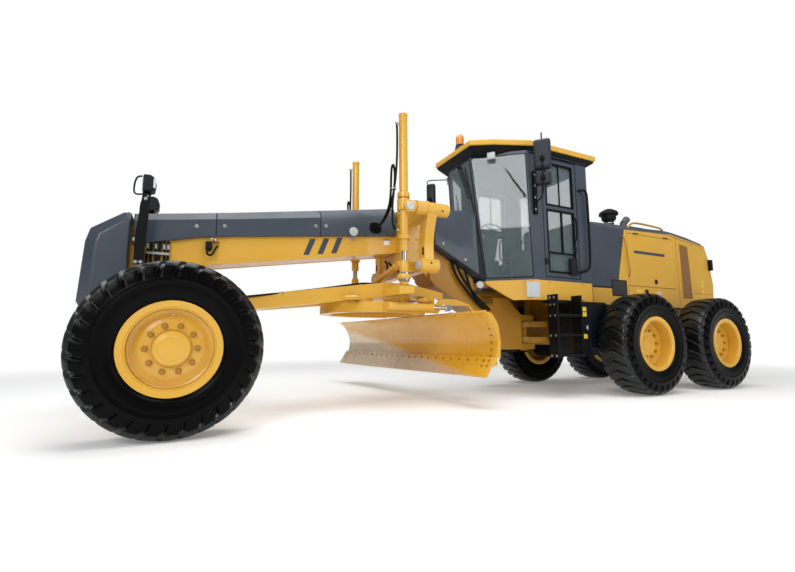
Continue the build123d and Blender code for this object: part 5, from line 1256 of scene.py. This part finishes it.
def mirrors():
    heads, glasses, clamps, hollows = [], [], [], []
    for centre, facing, wide, tall in (((-4.11, 0.95, 3.11), (1, 0.9, 0), 0.108, 0.205),
        ((-4.11, 0.95, 2.78), (1, 0.9, 0), 0.1, 0.082),
        ((-3.6, -0.995, 3.075), (1, 0.75, 0), 0.07, 0.205)):
        place = leaning(centre, facing)
        heads.append(moved(layered([rounded_plate(depth, wide * share, tall * share, 0.034)
                        for depth, share in ((-0.042, 0.955), (-0.039, 0.985), (-0.033, 1.0),
                            (0.004, 0.985), (0.024, 0.94), (0.036, 0.86), (0.04, 0.76))]), place))
        glasses.append(moved(layered([rounded_plate(depth, wide * 0.9, tall * 0.93, 0.028)
                        for depth in (-0.0445, -0.0415)]), place))
        low, high = (-tall * 0.55, -tall * 0.2) if tall > 0.1 else (-tall * 0.5, tall * 0.4)
        # A thin dark plate on the housing's back is painted shade for the clamp's recess.
        hollows.append(moved(layered([rounded_plate(depth, 0.034, (high - low) / 2, 0.016, (high + low) / 2)
                        for depth in (0.036, 0.0415)]), place))
        clamps.append(moved(rod((0.046, 0.0, low + 0.01), (0.046, 0.0, high - 0.01), 0.014, 12), place))
    piece("mirror_housings", heads, "mirror_plastic", REAR, stands_for=("mirrors",), angle=24.0)
    piece("mirror_clamp_hollow_shade", hollows, "seal_rubber", REAR, bevel=0.002)
    piece("mirror_glasses", glasses, "silver", REAR)
    piece("mirror_clamps", clamps, "black_enamel", REAR, bevel=0.004)
    hoses("mirror_arms",
          [(0.009,
            ((-4.11, 0.95, 3.4), (-4.105, 0.955, 3.32), (-4.076, 0.98, 3.02), (-4.072, 0.984, 2.8),
             (-4.085, 0.97, 2.6), (-4.09, 0.93, 2.53), (-4.1, 0.86, 2.51), (-4.118, 0.752, 2.51))),
           (0.009,
            ((-4.076, 0.98, 2.89), (-4.085, 0.93, 2.925), (-4.1, 0.83, 2.93), (-4.118, 0.752, 2.93))),
           (0.0085,
            ((-3.7, -0.355, 3.15), (-3.69, -0.42, 3.17), (-3.62, -0.68, 3.235), (-3.545, -0.93, 3.31),
             (-3.525, -0.985, 3.3), (-3.53, -0.995, 3.255), (-3.56, -0.995, 3.2), (-3.572, -0.985, 3.1))),
           (0.0085,
            ((-3.75, -0.47, 2.6), (-3.73, -0.52, 2.6), (-3.62, -0.85, 2.66), (-3.575, -0.975, 2.74),
             (-3.57, -0.985, 2.88), (-3.57, -0.985, 2.98)))], "black_enamel", REAR, 3)
    strip = [block((-4.13, 0.752, 2.36), (-4.105, 0.79, 2.94)),
        block((-4.16, 0.752, 2.36), (-4.15, 0.786, 2.94))]
    strip += [block((-4.155, 0.756, z), (-4.105, 0.786, z + 0.018))
        for z in (2.38, 2.46, 2.54, 2.62, 2.7, 2.78, 2.86, 2.91)]
    piece("mirror_mounting_strip", strip, "black_enamel", REAR, bevel=0.002)
    bolts("mirror_strip_bolts", [((-4.118, 0.7905, z), (0, 1, 0)) for z in (2.42, 2.58, 2.74, 2.89)],
          "zinc", REAR, 0.009, 0.007)


def wipers():
    shells = []
    sweep = ((0.02, 3.15), (0.2, 2.66))
    for shift, width in ((-0.018, 0.006), (0.012, 0.006), (0.046, 0.01)):
        a, b = (sweep[0][0] + shift, sweep[0][1]), (sweep[1][0] + shift * 1.2, sweep[1][1])
        xa, xb = cab_front(a[1])[0] + 0.022, cab_front(b[1])[0] + 0.024
        shells.append(rod((xa, a[0], a[1]), (xb, b[0], b[1]), width / 1.3, 8))
    for k in range(6):
        t = k / 5
        y, z = 0.02 + 0.18 * t, 3.15 - 0.49 * t
        x = cab_front(z)[0] + 0.022
        shells.append(rod((x, y - 0.02, z - 0.01), (x, y + 0.052, z + 0.018), 0.0045, 6))
    xl, xh = cab_front(2.45)[0] + 0.012, cab_front(3.08)[0] + 0.012
    shells.append(rod((xh, 0.155, 3.08), (xl, 0.265, 2.45), 0.009, 8))
    x = cab_front(3.15)[0]
    shells.append(rod((x - 0.01, 0.02, 3.15), (x + 0.035, 0.02, 3.15), 0.02, 16))
    piece("windscreen_wiper", shells, "plastic", REAR, bevel=0.001)
    for side, word in SIDES:
        ends = []
        for share, z in ((0.62, 2.99), (0.875, 2.66)):
            x, half, corner = cab_front(z)
            ends.append(Vector((x + (corner - x) * share + 0.012,
                        side * (half + (CAB_HALF_WIDTH - half) * share + 0.014), z)))
        over = Vector((0.012, side * 0.014, 0))
        piece(word + "_pane_wiper",
              [rod(ends[0], ends[1], 0.0075, 8),
               rod(ends[0].lerp(ends[1], 0.45) + over,
                   ends[1] + Vector((-0.03, side * 0.025, -0.05)) + over * 0.3, 0.006, 8),
               rod(ends[1] + Vector((-0.045, 0, -0.05)), ends[1] + Vector((-0.015, side * 0.035, -0.05)),
                   0.017, 14)], "plastic", REAR, bevel=0.001)


def cab_outside():
    rail = ((-4.955, 0.75, 2.8), (-4.97, 0.8, 2.81), (-5.05, 0.8, 2.815), (-5.078, 0.8, 2.76),
        (-5.078, 0.8, 2.4), (-5.075, 0.8, 2.1), (-5.068, 0.8, 1.82), (-5.05, 0.8, 1.7), (-4.98, 0.8, 1.655),
        (-4.88, 0.8, 1.635), (-4.86, 0.75, 1.635))
    for side, word in SIDES:
        hoses(word + "_cab_grab_rail", [(0.0165, on_side(side, rail))], "black_enamel", REAR, 3)
    shells = mirrored([prism("y", ((-3.943, 1.272), (-4.165, 1.272), (-4.165, 1.472), (-3.943, 1.466)),
                0.7502, 0.7522)])
    piece("skirt_blank_plates", shells, "silver", REAR, bevel=0.0008)
    bolts("skirt_bolts",
          [((x, side * 0.7505, z), (0, side, 0)) for side in (1, -1)
           for x, z in ((-3.89, 1.462), (-4.346, 1.482), (-4.955, 1.479), (-4.346, 1.262),
               (-4.955, 1.262))], "zinc", REAR, 0.009, 0.006)
    reflector = turned(
        ((0, 0.02), (0.02, 0.02), (0.022, 0.045), (0.036, 0.047), (0.042, 0.043), (0.044, 0.0)),
        (-3.512, 0.345, 1.442), (0.35, 1, 0), 32)
    piece("neck_reflectors", mirrored([reflector]), "silver", FRONT)
    brackets = [rod((-3.53, 0.15, 1.355), (-3.53, 0.345, 1.355), 0.02, 12),
        block((-3.545, 0.32, 1.345), (-3.505, 0.345, 1.46))]
    piece("neck_reflector_brackets", mirrored(brackets), "cast", FRONT, bevel=0.003)
    seam = mirrored([prism("y", oblong(-5.148, 1.25, -5.138, 1.5), 0.6, 0.7505)])
    piece("skirt_end_seams", seam, "seal_rubber", REAR)


def cushion(name, centre, half, square, crown, channels=(), lean=0.0):
    """A stuffed cushion: a soft-cornered, crowned form with sewn channels across it. Its local x runs
    along the seat, y across and z out through its face."""
    work = bmesh.new()
    bmesh.ops.create_cube(work, size=2.0)
    bmesh.ops.subdivide_edges(work, edges=work.edges, cuts=21, use_grid_fill=True)
    turn = Matrix.Rotation(lean, 3, "Y")
    for vert in work.verts:
        u, v, w = vert.co
        size = (abs(u) ** square + abs(v) ** square + abs(w) ** square) ** (1 / square)
        u, v, w = u / size, v / size, w / size
        swell = 1.0 + crown * (1 - u * u) * (1 - v * v) * (1 if w > 0 else 0.15)
        pull = 1.0 - 0.035 * (1 - abs(u)) * abs(v) ** 8 - 0.035 * (1 - abs(v)) * abs(u) ** 8
        groove = sum(0.22 * math.exp(-((u - line) / 0.035) ** 2) for line in channels) if w > 0 else 0.0
        seam = 0.02 * math.exp(-((w - 0.45) / 0.06) ** 2)
        place = Vector(
            (u * half[0] * (pull - seam), v * half[1] * (pull - seam), w * half[2] * (swell - groove)))
        vert.co = at(*centre) + turn @ place
    mesh = bpy.data.meshes.new(name)
    work.to_mesh(mesh)
    work.free()
    thing = linked(name, mesh)
    settle(thing, 70.0)
    return finish_piece(thing, "cloth", REAR)


def level(a, b, c, d, z):
    return [(x, y, z) for x, y in oblong(a, b, c, d)]


def seat_and_controls():
    base = cushion("seat_cushion", (-4.595, 0.0, 1.792), (0.25, 0.24, 0.052), 5.0, 0.35, (-0.35, 0.0, 0.35))
    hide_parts("operator_seat")
    tip = math.radians(-81)
    cushion("seat_back", (-4.868, 0.0, 2.135), (0.275, 0.225, 0.045), 5.0, 0.4,
            (-0.45, -0.1, 0.25), tip)
    cushion("seat_headrest", (-4.918, 0.0, 2.445), (0.075, 0.13, 0.032), 4.0, 0.3, (), tip)
    for side, word in SIDES:
        cushion(word + "_armrest", (-4.66, side * 0.272, 1.975), (0.15, 0.032, 0.022), 4.0, 0.15)
    shell = layered([level(-4.87, -0.19, -4.42, 0.19, 1.545), level(-4.85, -0.17, -4.44, 0.17, 1.57)])
    folds = []
    for k in range(5):
        z = 1.572 + k * 0.026
        folds += [level(-4.83, -0.155, -4.46, 0.155, z), level(-4.845, -0.17, -4.445, 0.17, z + 0.013)]
    pan = layered([level(-4.86, -0.24, -4.36, 0.24, 1.705), level(-4.87, -0.25, -4.35, 0.25, 1.748)])
    piece("seat_suspension", [shell, layered(folds), pan], "plastic", REAR, bevel=0.004)
    arms = mirrored([rod((-4.8, 0.262, 1.8), (-4.8, 0.262, 1.97), 0.014, 12),
            block((-4.42, 0.335, 1.545), (-4.05, 0.465, 1.95)),
            block((-4.88, 0.335, 1.545), (-4.42, 0.465, 1.88))])
    piece("seat_side_consoles", arms, "console_plastic", REAR, bevel=0.016, segments=3)
    levers = []
    for k in range(5):
        x, y = -4.12 - 0.045 * k, 0.385 + 0.03 * (k % 2)
        levers.append(rod((x, y, 1.94), (x - 0.02, y, 2.06), 0.006, 8))
        levers.append(turned(((0, 0.008), (0.01, 0.015), (0.03, 0.016), (0.04, 0.01), (0.043, 0.0)),
                (x - 0.02, y, 2.055), (-0.15, 0, 1), 14))
    piece("control_levers", mirrored(levers), "plastic", REAR)
    column = prism("y",
        ((-3.742, 1.545), (-3.918, 1.545), (-4.055, 2.15), (-4.03, 2.215), (-3.905, 2.225), (-3.86, 2.12)),
        -0.105, 0.105)
    piece("steering_column", [column], "console_plastic", REAR, bevel=0.018, segments=3,
          stands_for=("steering_console",))
    axis = Vector((-0.4472, 0, 0.8944))
    centre = (-4.06, 0.0, 2.3)
    rim = ring([(0.0135 * math.cos(a), 0.175 + 0.0135 * math.sin(a))
            for a in [2 * math.pi * k / 10 for k in range(10)]], centre, axis, 48)
    first, second = across(axis)
    spokes = [rod(Vector(centre) - axis * 0.018,
            Vector(centre) + (first * math.cos(a) + second * math.sin(a)) * 0.17, 0.011, 10)
        for a in (0.5, 2.6, 4.7)]
    piece("steering_wheel",
          [rim,
           turned(((-0.05, 0.03), (-0.01, 0.04), (0.012, 0.038), (0.018, 0.03), (0.019, 0.0)), centre, axis,
               28)] + spokes, "plastic", REAR)
    dial = [moved(block((-0.004, -0.085, -0.045), (0.004, 0.085, 0.045)),
            leaning((-3.975, 0.0, 2.235), (-0.35, 0, 0.94)))]
    piece("instrument_panel", dial, "dark_glass", REAR, bevel=0.003)
    floor_mat = [block((-5.05, -0.66, 1.541), (-4.1, 0.66, 1.547)),
        block((-4.1, -0.45, 1.541), (-3.72, 0.45, 1.547))]
    piece("cab_floor_mat", floor_mat, "rubber", REAR, bevel=0.003)


cab_seals()
for side, word in SIDES:
    door(side, word)
roof()
lamps_and_beacon()
mirrors()
wipers()
cab_outside()
seat_and_controls()

# ---- hood, rear and steps ----
HOOD_HALF = 0.6
HANDRAIL = ((-6.215, 0.56, 2.425), (-6.25, 0.572, 2.5), (-6.32, 0.576, 2.548), (-6.45, 0.578, 2.566),
    (-7.0, 0.578, 2.548), (-7.105, 0.574, 2.535), (-7.13, 0.56, 2.47))
GRAB_ROD = ((-6.034, 0.6, 2.3), (-6.036, 0.636, 2.29), (-6.045, 0.642, 2.25), (-6.08, 0.642, 2.0),
    (-6.116, 0.642, 1.73), (-6.124, 0.636, 1.7), (-6.126, 0.6, 1.69))
INTAKE_X, EXHAUST_X = -6.56, -6.93
PIVOT_X, PIVOT_Z = -6.12, 0.72  # the tandem's pivot cover


def side_skin(outline, low, high):
    """The same thin plate on both sides of the hood."""
    return mirrored([prism("y", outline, HOOD_HALF + low, HOOD_HALF + high)])


def strip(start, end, width):
    """A thin straight line of sealer on both sides, between two (x, z) places."""
    a, b = Vector(start), Vector(end)
    off = Vector((-(b - a).y, (b - a).x)).normalized() * width / 2
    return side_skin([tuple(a + off), tuple(b + off), tuple(b - off), tuple(a - off)], 0.0002, 0.0014)


def side_frame(outline, width, low, high):
    shells = []
    for side in (1, -1):
        corners = upright(side * HOOD_HALF, outline)
        shells.append(framed(corners, width, (0, side, 0), high, low))
    return shells


def half_top(edge, stations):
    """Half of a crowned top panel: stations are x, the side wall's top and the crown's height."""
    return layered([[(x, 0.585, low - 0.04), (x, 0.6008, low - 0.004), (x, 0.6008, low + 0.002),
                (x, edge, high), (x, 0.0, high + 0.006), (x, 0.0, low - 0.02)]
            for x, low, high in stations])


def hood_details():
    seams = []
    for start, end, width in (((-5.865, 1.5), (-6.09, 2.418), 0.006),
        ((-7.375, 1.262), (-7.375, 2.44), 0.004), ((-5.185, 1.5), (-5.865, 1.5), 0.005),
        ((-7.375, 1.5), (-8.345, 1.5), 0.004), ((-6.15, 2.374), (-6.15, 2.424), 0.004),
        ((-6.112, 1.262), (-6.112, 1.56), 0.004)):
        seams += strip(start, end, width)
    piece("hood_seams", seams, "seal_rubber", REAR)
    mesh_outline = oblong(-5.749, 1.383, -6.061, 1.607)
    piece("hood_side_vents", side_skin(mesh_outline, 0.0003, 0.003), "dark_grille", REAR)
    vent = oblong(-5.739, 1.373, -6.071, 1.617)
    piece("hood_vent_frames", side_frame(vent, 0.012, 0.0003, 0.005), "black_enamel", REAR, bevel=0.001)
    grille_outline = [(-7.452, 1.388), (-7.452, 2.325), (-7.7, 2.29), (-7.735, 1.388)]
    piece("side_grilles", side_skin(grille_outline, 0.0003, 0.003), "grille", REAR)
    piece("side_grille_frames",
          side_frame([(-7.44, 1.376), (-7.44, 2.34), (-7.712, 2.303), (-7.748, 1.376)], 0.022, 0.0003,
              0.0075), "enamel", REAR, bevel=0.002)
    cowl_top = ((-5.19, 2.395, 2.44), (-5.26, 2.396, 2.47), (-5.6, 2.405, 2.485), (-6.088, 2.419, 2.5))
    hood_top = ((-6.094, 2.419, 2.498), (-6.3, 2.426, 2.505), (-6.75, 2.44, 2.505), (-7.14, 2.447, 2.52),
        (-7.35, 2.412, 2.51), (-7.75, 2.37, 2.465), (-8.17, 2.33, 2.395), (-8.205, 2.325, 2.345))
    crown = mirrored([half_top(0.535, cowl_top), half_top(0.555, hood_top)])
    piece("hood_top_panel", crown, "slate_matt", REAR, bevel=0.004)
    for side, word in SIDES:
        y = side * HOOD_HALF
        body = word + "_engine_door"
        latch = [plate(side, y, oblong(-6.755, 1.6, -6.812, 1.672), 0.0, 0.01)]
        latch.append(plate(side, y, oblong(-6.77, 1.615, -6.797, 1.655), 0.01, 0.022))
        piece(word + "_engine_door_latch", latch, "plastic", body, bevel=0.004, segments=3)
        stripe = [plate(side, y, ((-6.3, 2.06), (-6.292, 2.105), (-7.06, 2.105), (-7.052, 2.06)), 0.0003,
                0.0013)]
        piece(word + "_plain_door_stripe", stripe, "slate", body)
        notices = [plate(side, y, oblong(x, z, x - long, z + tall), 0.0003, 0.0014)
            for x, z, long, tall in ((-6.3, 1.445, 0.12, 0.05), (-8.02, 1.6, 0.05, 0.13),
                (-8.02, 1.5, 0.05, 0.06))]
        piece(word + "_hood_notice_plates", notices, "notice_plate", REAR)
        piece(word + "_hood_socket", [plate(side, y, oblong(-6.5, 1.42, -6.575, 1.5), 0.0003, 0.006)],
              "plastic", REAR, bevel=0.002)
        hinge = [rod((x, y + side * 0.006, 2.372), (x - 0.1, y + side * 0.006, 2.372), 0.01, 12)
            for x in (-6.3, -7.05)]
        piece(word + "_engine_door_hinges", hinge, "black_enamel", REAR)
        bolts(word + "_hood_bolts",
              [((x, y + side * 0.0004, z), (0, side, 0))
               for x, z in ((-6.18, 1.3), (-6.75, 1.3), (-7.32, 1.3), (-5.4, 1.47), (-7.8, 1.3),
                   (-8.18, 1.36), (-8.1, 2.29), (-7.8, 2.33), (-5.3, 1.3), (-5.7, 1.3))], "zinc", REAR,
              0.01, 0.006)
        hoses(word + "_hood_handrail", [(0.015, on_side(side, HANDRAIL))], "shade_yellow_enamel", REAR, 4)
        hoses(word + "_hood_grab_rod", [(0.0095, on_side(side, GRAB_ROD))], "shade_yellow_enamel", REAR, 3)
        cap = ((0, 0.036), (0.01, 0.036), (0.012, 0.03), (0.022, 0.029), (0.026, 0.024), (0.027, 0.0))
        piece(word + "_fuel_cap", [turned(cap, (-6.839, y, 1.447), (0, side, 0), 32)], "silver", REAR)
    lamps = mirrored(
        [layered([[(x, y, z) for x, y in oblong(-8.255, 0.59, -8.318, 0.655)] for z in (1.915, 2.105)])])
    piece("tail_lamp_housings", lamps, "black_enamel", REAR, bevel=0.012, segments=3)
    lenses = mirrored([block((-8.324, 0.598, z), (-8.314, 0.647, z + 0.078)) for z in (1.926, 2.016)])
    piece("tail_lamp_lenses", lenses, "red_lens", REAR, bevel=0.003)
    brackets = mirrored([block((-8.3, 0.55, 1.985), (-8.27, 0.6, 2.035))])
    piece("tail_lamp_brackets", brackets, "black_enamel", REAR, bevel=0.003)


def intake_and_exhaust():
    shells = [turned(
            ((0, 0.092), (0.012, 0.092), (0.016, 0.078), (0.29, 0.078), (0.3, 0.086), (0.31, 0.086)),
            (INTAKE_X, 0, 2.45), (0, 0, 1), 40),
        turned(((0, 0.084), (0.004, 0.106), (0.014, 0.112), (0.052, 0.112), (0.062, 0.118), (0.082, 0.118),
                (0.092, 0.15), (0.12, 0.156), (0.15, 0.14), (0.18, 0.094), (0.198, 0.055), (0.204, 0.02),
                (0.205, 0.0)), (INTAKE_X, 0, 2.76), (0, 0, 1), 48)]
    piece("air_pre_cleaner", shells, "plastic", REAR, stands_for=("intake_and_exhaust",))
    repeated("pre_cleaner_vanes",
        [prism("z", oblong(INTAKE_X + 0.106, -0.004, INTAKE_X + 0.1155, 0.004), 2.774, 2.815)], AROUND_TREE,
        "plastic", REAR, {"Count": 28, "Axle": (0, 0, 1), "Centre": at(INTAKE_X, 0, 0)})
    piece("pre_cleaner_clamp",
          [ring(oblong(0, 0.078, 0.014, 0.082), (INTAKE_X, 0, 2.7), (0, 0, 1), 32),
           block((INTAKE_X + 0.078, -0.012, 2.7), (INTAKE_X + 0.103, 0.012, 2.714))], "zinc", REAR)
    pipe = [ring(oblong(0, 0.05, 0.31, 0.056), (EXHAUST_X, 0, 2.455), (0, 0, 1), 32),
        turned(((0, 0.085), (0.008, 0.085), (0.012, 0.058), (0.04, 0.057)), (EXHAUST_X, 0, 2.5), (0, 0, 1),
            32)]
    mouth = Vector((-0.1, 0, 0.095))
    pipe.append(ring(((0, 0.05), (0, 0.056), (mouth.length, 0.06), (mouth.length, 0.054)),
            (EXHAUST_X, 0, 2.75), tuple(mouth), 32))
    piece("exhaust_stub", pipe, "cast", REAR, bevel=0.001)
    piece("hood_top_louvres",
          [block((-6.66 - 0.07 * k, -0.22, 2.5), (-6.62 - 0.07 * k, 0.22, 2.526)) for k in range(7)],
          "slate_matt", REAR, bevel=0.004)


def rear_face():
    slats = []
    for k in range(13):
        z = 1.435 + 0.05 * k
        share = (z - 1.43) / (1.66 - 1.43) if z < 1.66 else (2.12 - z) / (2.12 - 1.66)
        x = -8.34 - 0.03 * share if z < 1.66 else -8.28 - 0.09 * share
        slats.append(block((x - 0.01, -0.455, z), (x - 0.001, 0.455, z + 0.02)))
    piece("rear_grille_slats", slats, "black_enamel", "rear_grille_door", bevel=0.002)
    piece("rear_grille_handle",
          [rod((-8.375, 0.38, 1.72), (-8.4, 0.38, 1.72), 0.008, 10),
           rod((-8.365, 0.38, 1.84), (-8.4, 0.38, 1.84), 0.008, 10),
           rod((-8.4, 0.38, 1.71), (-8.4, 0.38, 1.85), 0.01, 12)], "plastic", "rear_grille_door")
    piece("rear_plate", [block((-8.262, -0.26, 1.262), (-8.2565, 0.26, 1.372))], "white_plate", REAR,
          bevel=0.001)


def steps_and_boxes():
    treads, grips = [], []
    spots = [(x, facing, y, z) for x, facing in ((-4.235, 1), (-4.685, -1)) for y in (0.84, 0.91)
        for z in (1.17, 1.26)]
    for z in (0.5451, 0.7951, 1.0451):
        treads.append(block((-4.65, 0.808, z), (-4.27, 0.944, z + 0.003)))
        grips += [block((-4.645, y - 0.003, z + 0.003), (-4.275, y + 0.003, z + 0.01))
            for y in (0.822, 0.857, 0.892, 0.927)]
        spots += [(x, facing, y, z - 0.0125) for x, facing in ((-4.235, 1), (-4.685, -1))
            for y in (0.835, 0.915)]
    piece("step_treads", mirrored(treads), "dark_grille", REAR)
    piece("step_tread_grips", mirrored(grips), "black_enamel", REAR, bevel=0.001)
    bolts("step_bolts",
          [((x, side * y, z), (facing, 0, 0)) for side in (1, -1) for x, facing, y, z in spots], "zinc",
          REAR, 0.011, 0.008)
    for side, word in SIDES:
        y = side * 0.8203
        lid = upright(y, oblong(-4.945, 0.555, -4.735, 1.22))
        piece(word + "_box_door",
              [framed(lid, 0.014, (0, side, 0), 0.005, 0.0),
               plate(side, y, oblong(-4.925, 0.575, -4.755, 1.2), 0.0, 0.0028)], "dark_enamel", REAR,
              bevel=0.002)
        piece(word + "_box_plates",
              [plate(side, y, oblong(x, z, x - 0.105, z + 0.058), 0.0028, 0.004)
               for x, z in ((-4.8, 1.105), (-4.8, 1.035), (-4.795, 0.745))], "notice_plate", REAR)
        piece(word + "_chassis_skirt", [block((-5.3, side * 0.7, 0.62), (-4.96, side * 0.8185, 1.236))],
              "dark_enamel", REAR, bevel=0.006)
        piece(word + "_box_lock",
              [turned(((0, 0.018), (0.006, 0.018), (0.009, 0.014), (0.01, 0.0)), (-4.905, y, 0.89),
                   (0, side, 0), 20), plate(side, y, oblong(-4.912, 0.86, -4.898, 0.92), 0.003, 0.012)],
              "silver", REAR)


def engine_details():
    """Covers, filters and pipes round the engine, seen with its doors open."""
    shells = [prism("x", ((-0.2, 2.081), (0.2, 2.081), (0.17, 2.19), (-0.17, 2.19)), -7.3, -6.4)]
    shells += mirrored([block((-7.28 + 0.3 * k, 0.331, 1.62), (-7.1 + 0.3 * k, 0.38, 1.9)) for k in range(3)])
    piece("engine_covers", shells, "shade_yellow_enamel", REAR, bevel=0.01, segments=3)
    filters = [turned(((0, 0.055), (0.2, 0.055), (0.22, 0.04), (0.24, 0.038), (0.245, 0.0)),
            (-6.45 - 0.13 * k, 0.392, 1.42), (0, 0, 1), 28) for k in range(2)]
    filters += [turned(((0, 0.06), (0.22, 0.06), (0.24, 0.044), (0.26, 0.04), (0.265, 0.0)),
            (-6.5, -0.395, 1.42), (0, 0, 1), 28)]
    piece("engine_filters", filters, "white_plate", REAR)
    wide = ((-7.25, 0.36, 1.98), (-7.0, 0.4, 2.02), (-6.7, 0.4, 2.02), (-6.45, 0.36, 2.06),
        (-6.3, 0.25, 2.16), (-6.2, 0.1, 2.24))
    thin = ((-7.3, 0.345, 1.55), (-7.0, 0.37, 1.53), (-6.7, 0.37, 1.56), (-6.45, 0.345, 1.66))
    pipes = [(radius, on_side(side, line)) for side in (1, -1)
        for radius, line in ((0.03, wide), (0.012, thin))]
    hoses("engine_pipes", pipes, "black_enamel", REAR, 3)
    bolts("engine_cover_bolts",
          [((-7.24 + 0.3 * k + dx, side * 0.3805, z), (0, side, 0)) for side in (1, -1) for k in range(3)
           for dx, z in ((0.0, 1.65), (0.1, 1.65), (0.0, 1.87), (0.1, 1.87))], "zinc", REAR, 0.01, 0.008)


def tandem_details():
    spots, plates = [], []
    for side in (1, -1):
        y = side * 0.8153
        spots += [((-5.62 - 0.16 * k, y, 0.84), (0, side, 0)) for k in range(7)]
        plates.append(turned(
                ((0, 0.2), (0.01, 0.2), (0.016, 0.19), (0.018, 0.12), (0.03, 0.1), (0.032, 0.0)),
                (PIVOT_X, y, PIVOT_Z), (0, side, 0), 48))
        spots += [
            ((PIVOT_X + 0.165 * math.cos(a), y + side * 0.017, PIVOT_Z + 0.165 * math.sin(a)), (0, side, 0))
            for a in [math.pi * k / 6 for k in range(12)]]
    piece("tandem_pivot_covers", plates, "black_enamel", REAR)
    bolts("tandem_bolts", spots, "zinc", REAR, 0.012, 0.009)


hood_details()
intake_and_exhaust()
rear_face()
steps_and_boxes()
engine_details()
tandem_details()


# ---- floor, light and camera ----
def studio_floor():
    """A pale matt floor that fades to white well away from the machine, and keeps its shadow."""
    reach = 60.0
    mesh = bpy.data.meshes.new("studio_floor")
    mesh.from_pydata([(x, y, FLOOR_Z - 0.001) for x, y in oblong(-reach, -reach, reach, reach)], [],
        [(0, 1, 2, 3)])
    floor = linked("studio_floor", mesh)
    material, tree, shader = new_material("pale_studio_floor")
    for key, value in {"Base Color": linear("#f4f5f5"), "Emission Color": (1, 1, 1, 1),
        "Emission Strength": 0.16, "Roughness": 0.9, "Specular IOR Level": 0.1}.items():
        shader.inputs[key].default_value = value
    place = node(tree, "ShaderNodeTexCoord")
    shift = node(tree, "ShaderNodeVectorMath", {".operation": "SUBTRACT", 1: (5.0, 0.0, FLOOR_Z)},
        {0: (place, "Object")})
    far = node(tree, "ShaderNodeVectorMath", {".operation": "LENGTH"}, {0: (shift, 0)})
    fade = node(tree, "ShaderNodeMapRange",
        {"From Min": 5.5, "From Max": 13.0, ".interpolation_type": "SMOOTHSTEP"},
        {"Value": (far, "Value")})
    path = node(tree, "ShaderNodeLightPath")
    seen = node(tree, "ShaderNodeMath", {".operation": "ADD", ".use_clamp": True},
        {0: (path, "Is Camera Ray"), 1: (path, "Is Glossy Ray")})
    seen = node(tree, "ShaderNodeMath", {".operation": "ADD", ".use_clamp": True},
        {0: (seen, 0), 1: (path, "Is Transmission Ray")})
    share = node(tree, "ShaderNodeMath", {".operation": "MULTIPLY"}, {0: (fade, 0), 1: (seen, 0)})
    white = node(tree, "ShaderNodeEmission", {"Color": (1, 1, 1, 1), "Strength": 1.0})
    mixed = node(tree, "ShaderNodeMixShader", {}, {0: (share, 0), 1: (shader, 0), 2: (white, 0)})
    tree.links.new(mixed.outputs[0], tree.nodes["Material Output"].inputs["Surface"])
    mesh.materials.append(material)


def studio_light():
    world = bpy.data.worlds.new("studio_world")
    bpy.context.scene.world = world
    world.use_nodes = True
    tree = world.node_tree
    sky = tree.nodes["Background"]
    sky.inputs["Color"].default_value = (1, 1, 1, 1)
    path = node(tree, "ShaderNodeLightPath")
    seen = node(tree, "ShaderNodeMath", {".operation": "ADD", ".use_clamp": True},
        {0: (path, "Is Camera Ray"), 1: (path, "Is Transmission Ray")})
    strength = node(tree, "ShaderNodeMapRange", {"To Min": 0.3, "To Max": 1.0}, {"Value": (seen, 0)})
    tree.links.new(strength.outputs[0], sky.inputs["Strength"])
    for name, place, target, size, power in (
        ("overhead_softbox", (-2.0, 1.0, 9.0), (-4.0, 0.0, 0.5), (12.0, 6.0), 800.0),
        ("key_softbox", (5.0, 9.0, 6.5), (-2.5, 0.0, 1.0), (5.0, 3.5), 480.0),
        ("fill_softbox", (-8.0, 9.0, 4.5), (-4.5, 0.0, 1.0), (5.0, 3.0), 130.0)):
        lamp = bpy.data.lights.new(name, "AREA")
        lamp.shape, lamp.size, lamp.size_y, lamp.energy = "RECTANGLE", size[0], size[1], power
        thing = linked(name, lamp)
        thing.location = at(*place)
        thing.rotation_euler = (at(*target) - at(*place)).to_track_quat("-Z", "Y").to_euler()


def studio_camera():
    yaw, pitch, roll = 0.4595, 0.1249, -0.0041
    forward = Vector((-math.sin(yaw) * math.cos(pitch), -math.cos(yaw) * math.cos(pitch), math.sin(pitch)))
    right = forward.cross(Vector((0, 0, 1))).normalized()
    up = right.cross(forward)
    level_right = right * math.cos(roll) + up * math.sin(roll)
    level_up = up * math.cos(roll) - right * math.sin(roll)
    data = bpy.data.cameras.new("studio_camera")
    data.lens, data.sensor_width, data.sensor_fit = 19.64, 36.0, "HORIZONTAL"
    data.clip_end = 200.0
    thing = linked("studio_camera", data)
    turn = Matrix((level_right, level_up, -forward)).transposed().to_4x4()
    thing.matrix_world = Matrix.Translation(at(-0.063, 4.907, 0.729)) @ turn
    bpy.context.scene.camera = thing


studio_floor()
studio_light()
studio_camera()
bpy.context.scene.view_settings.view_transform = "Standard"
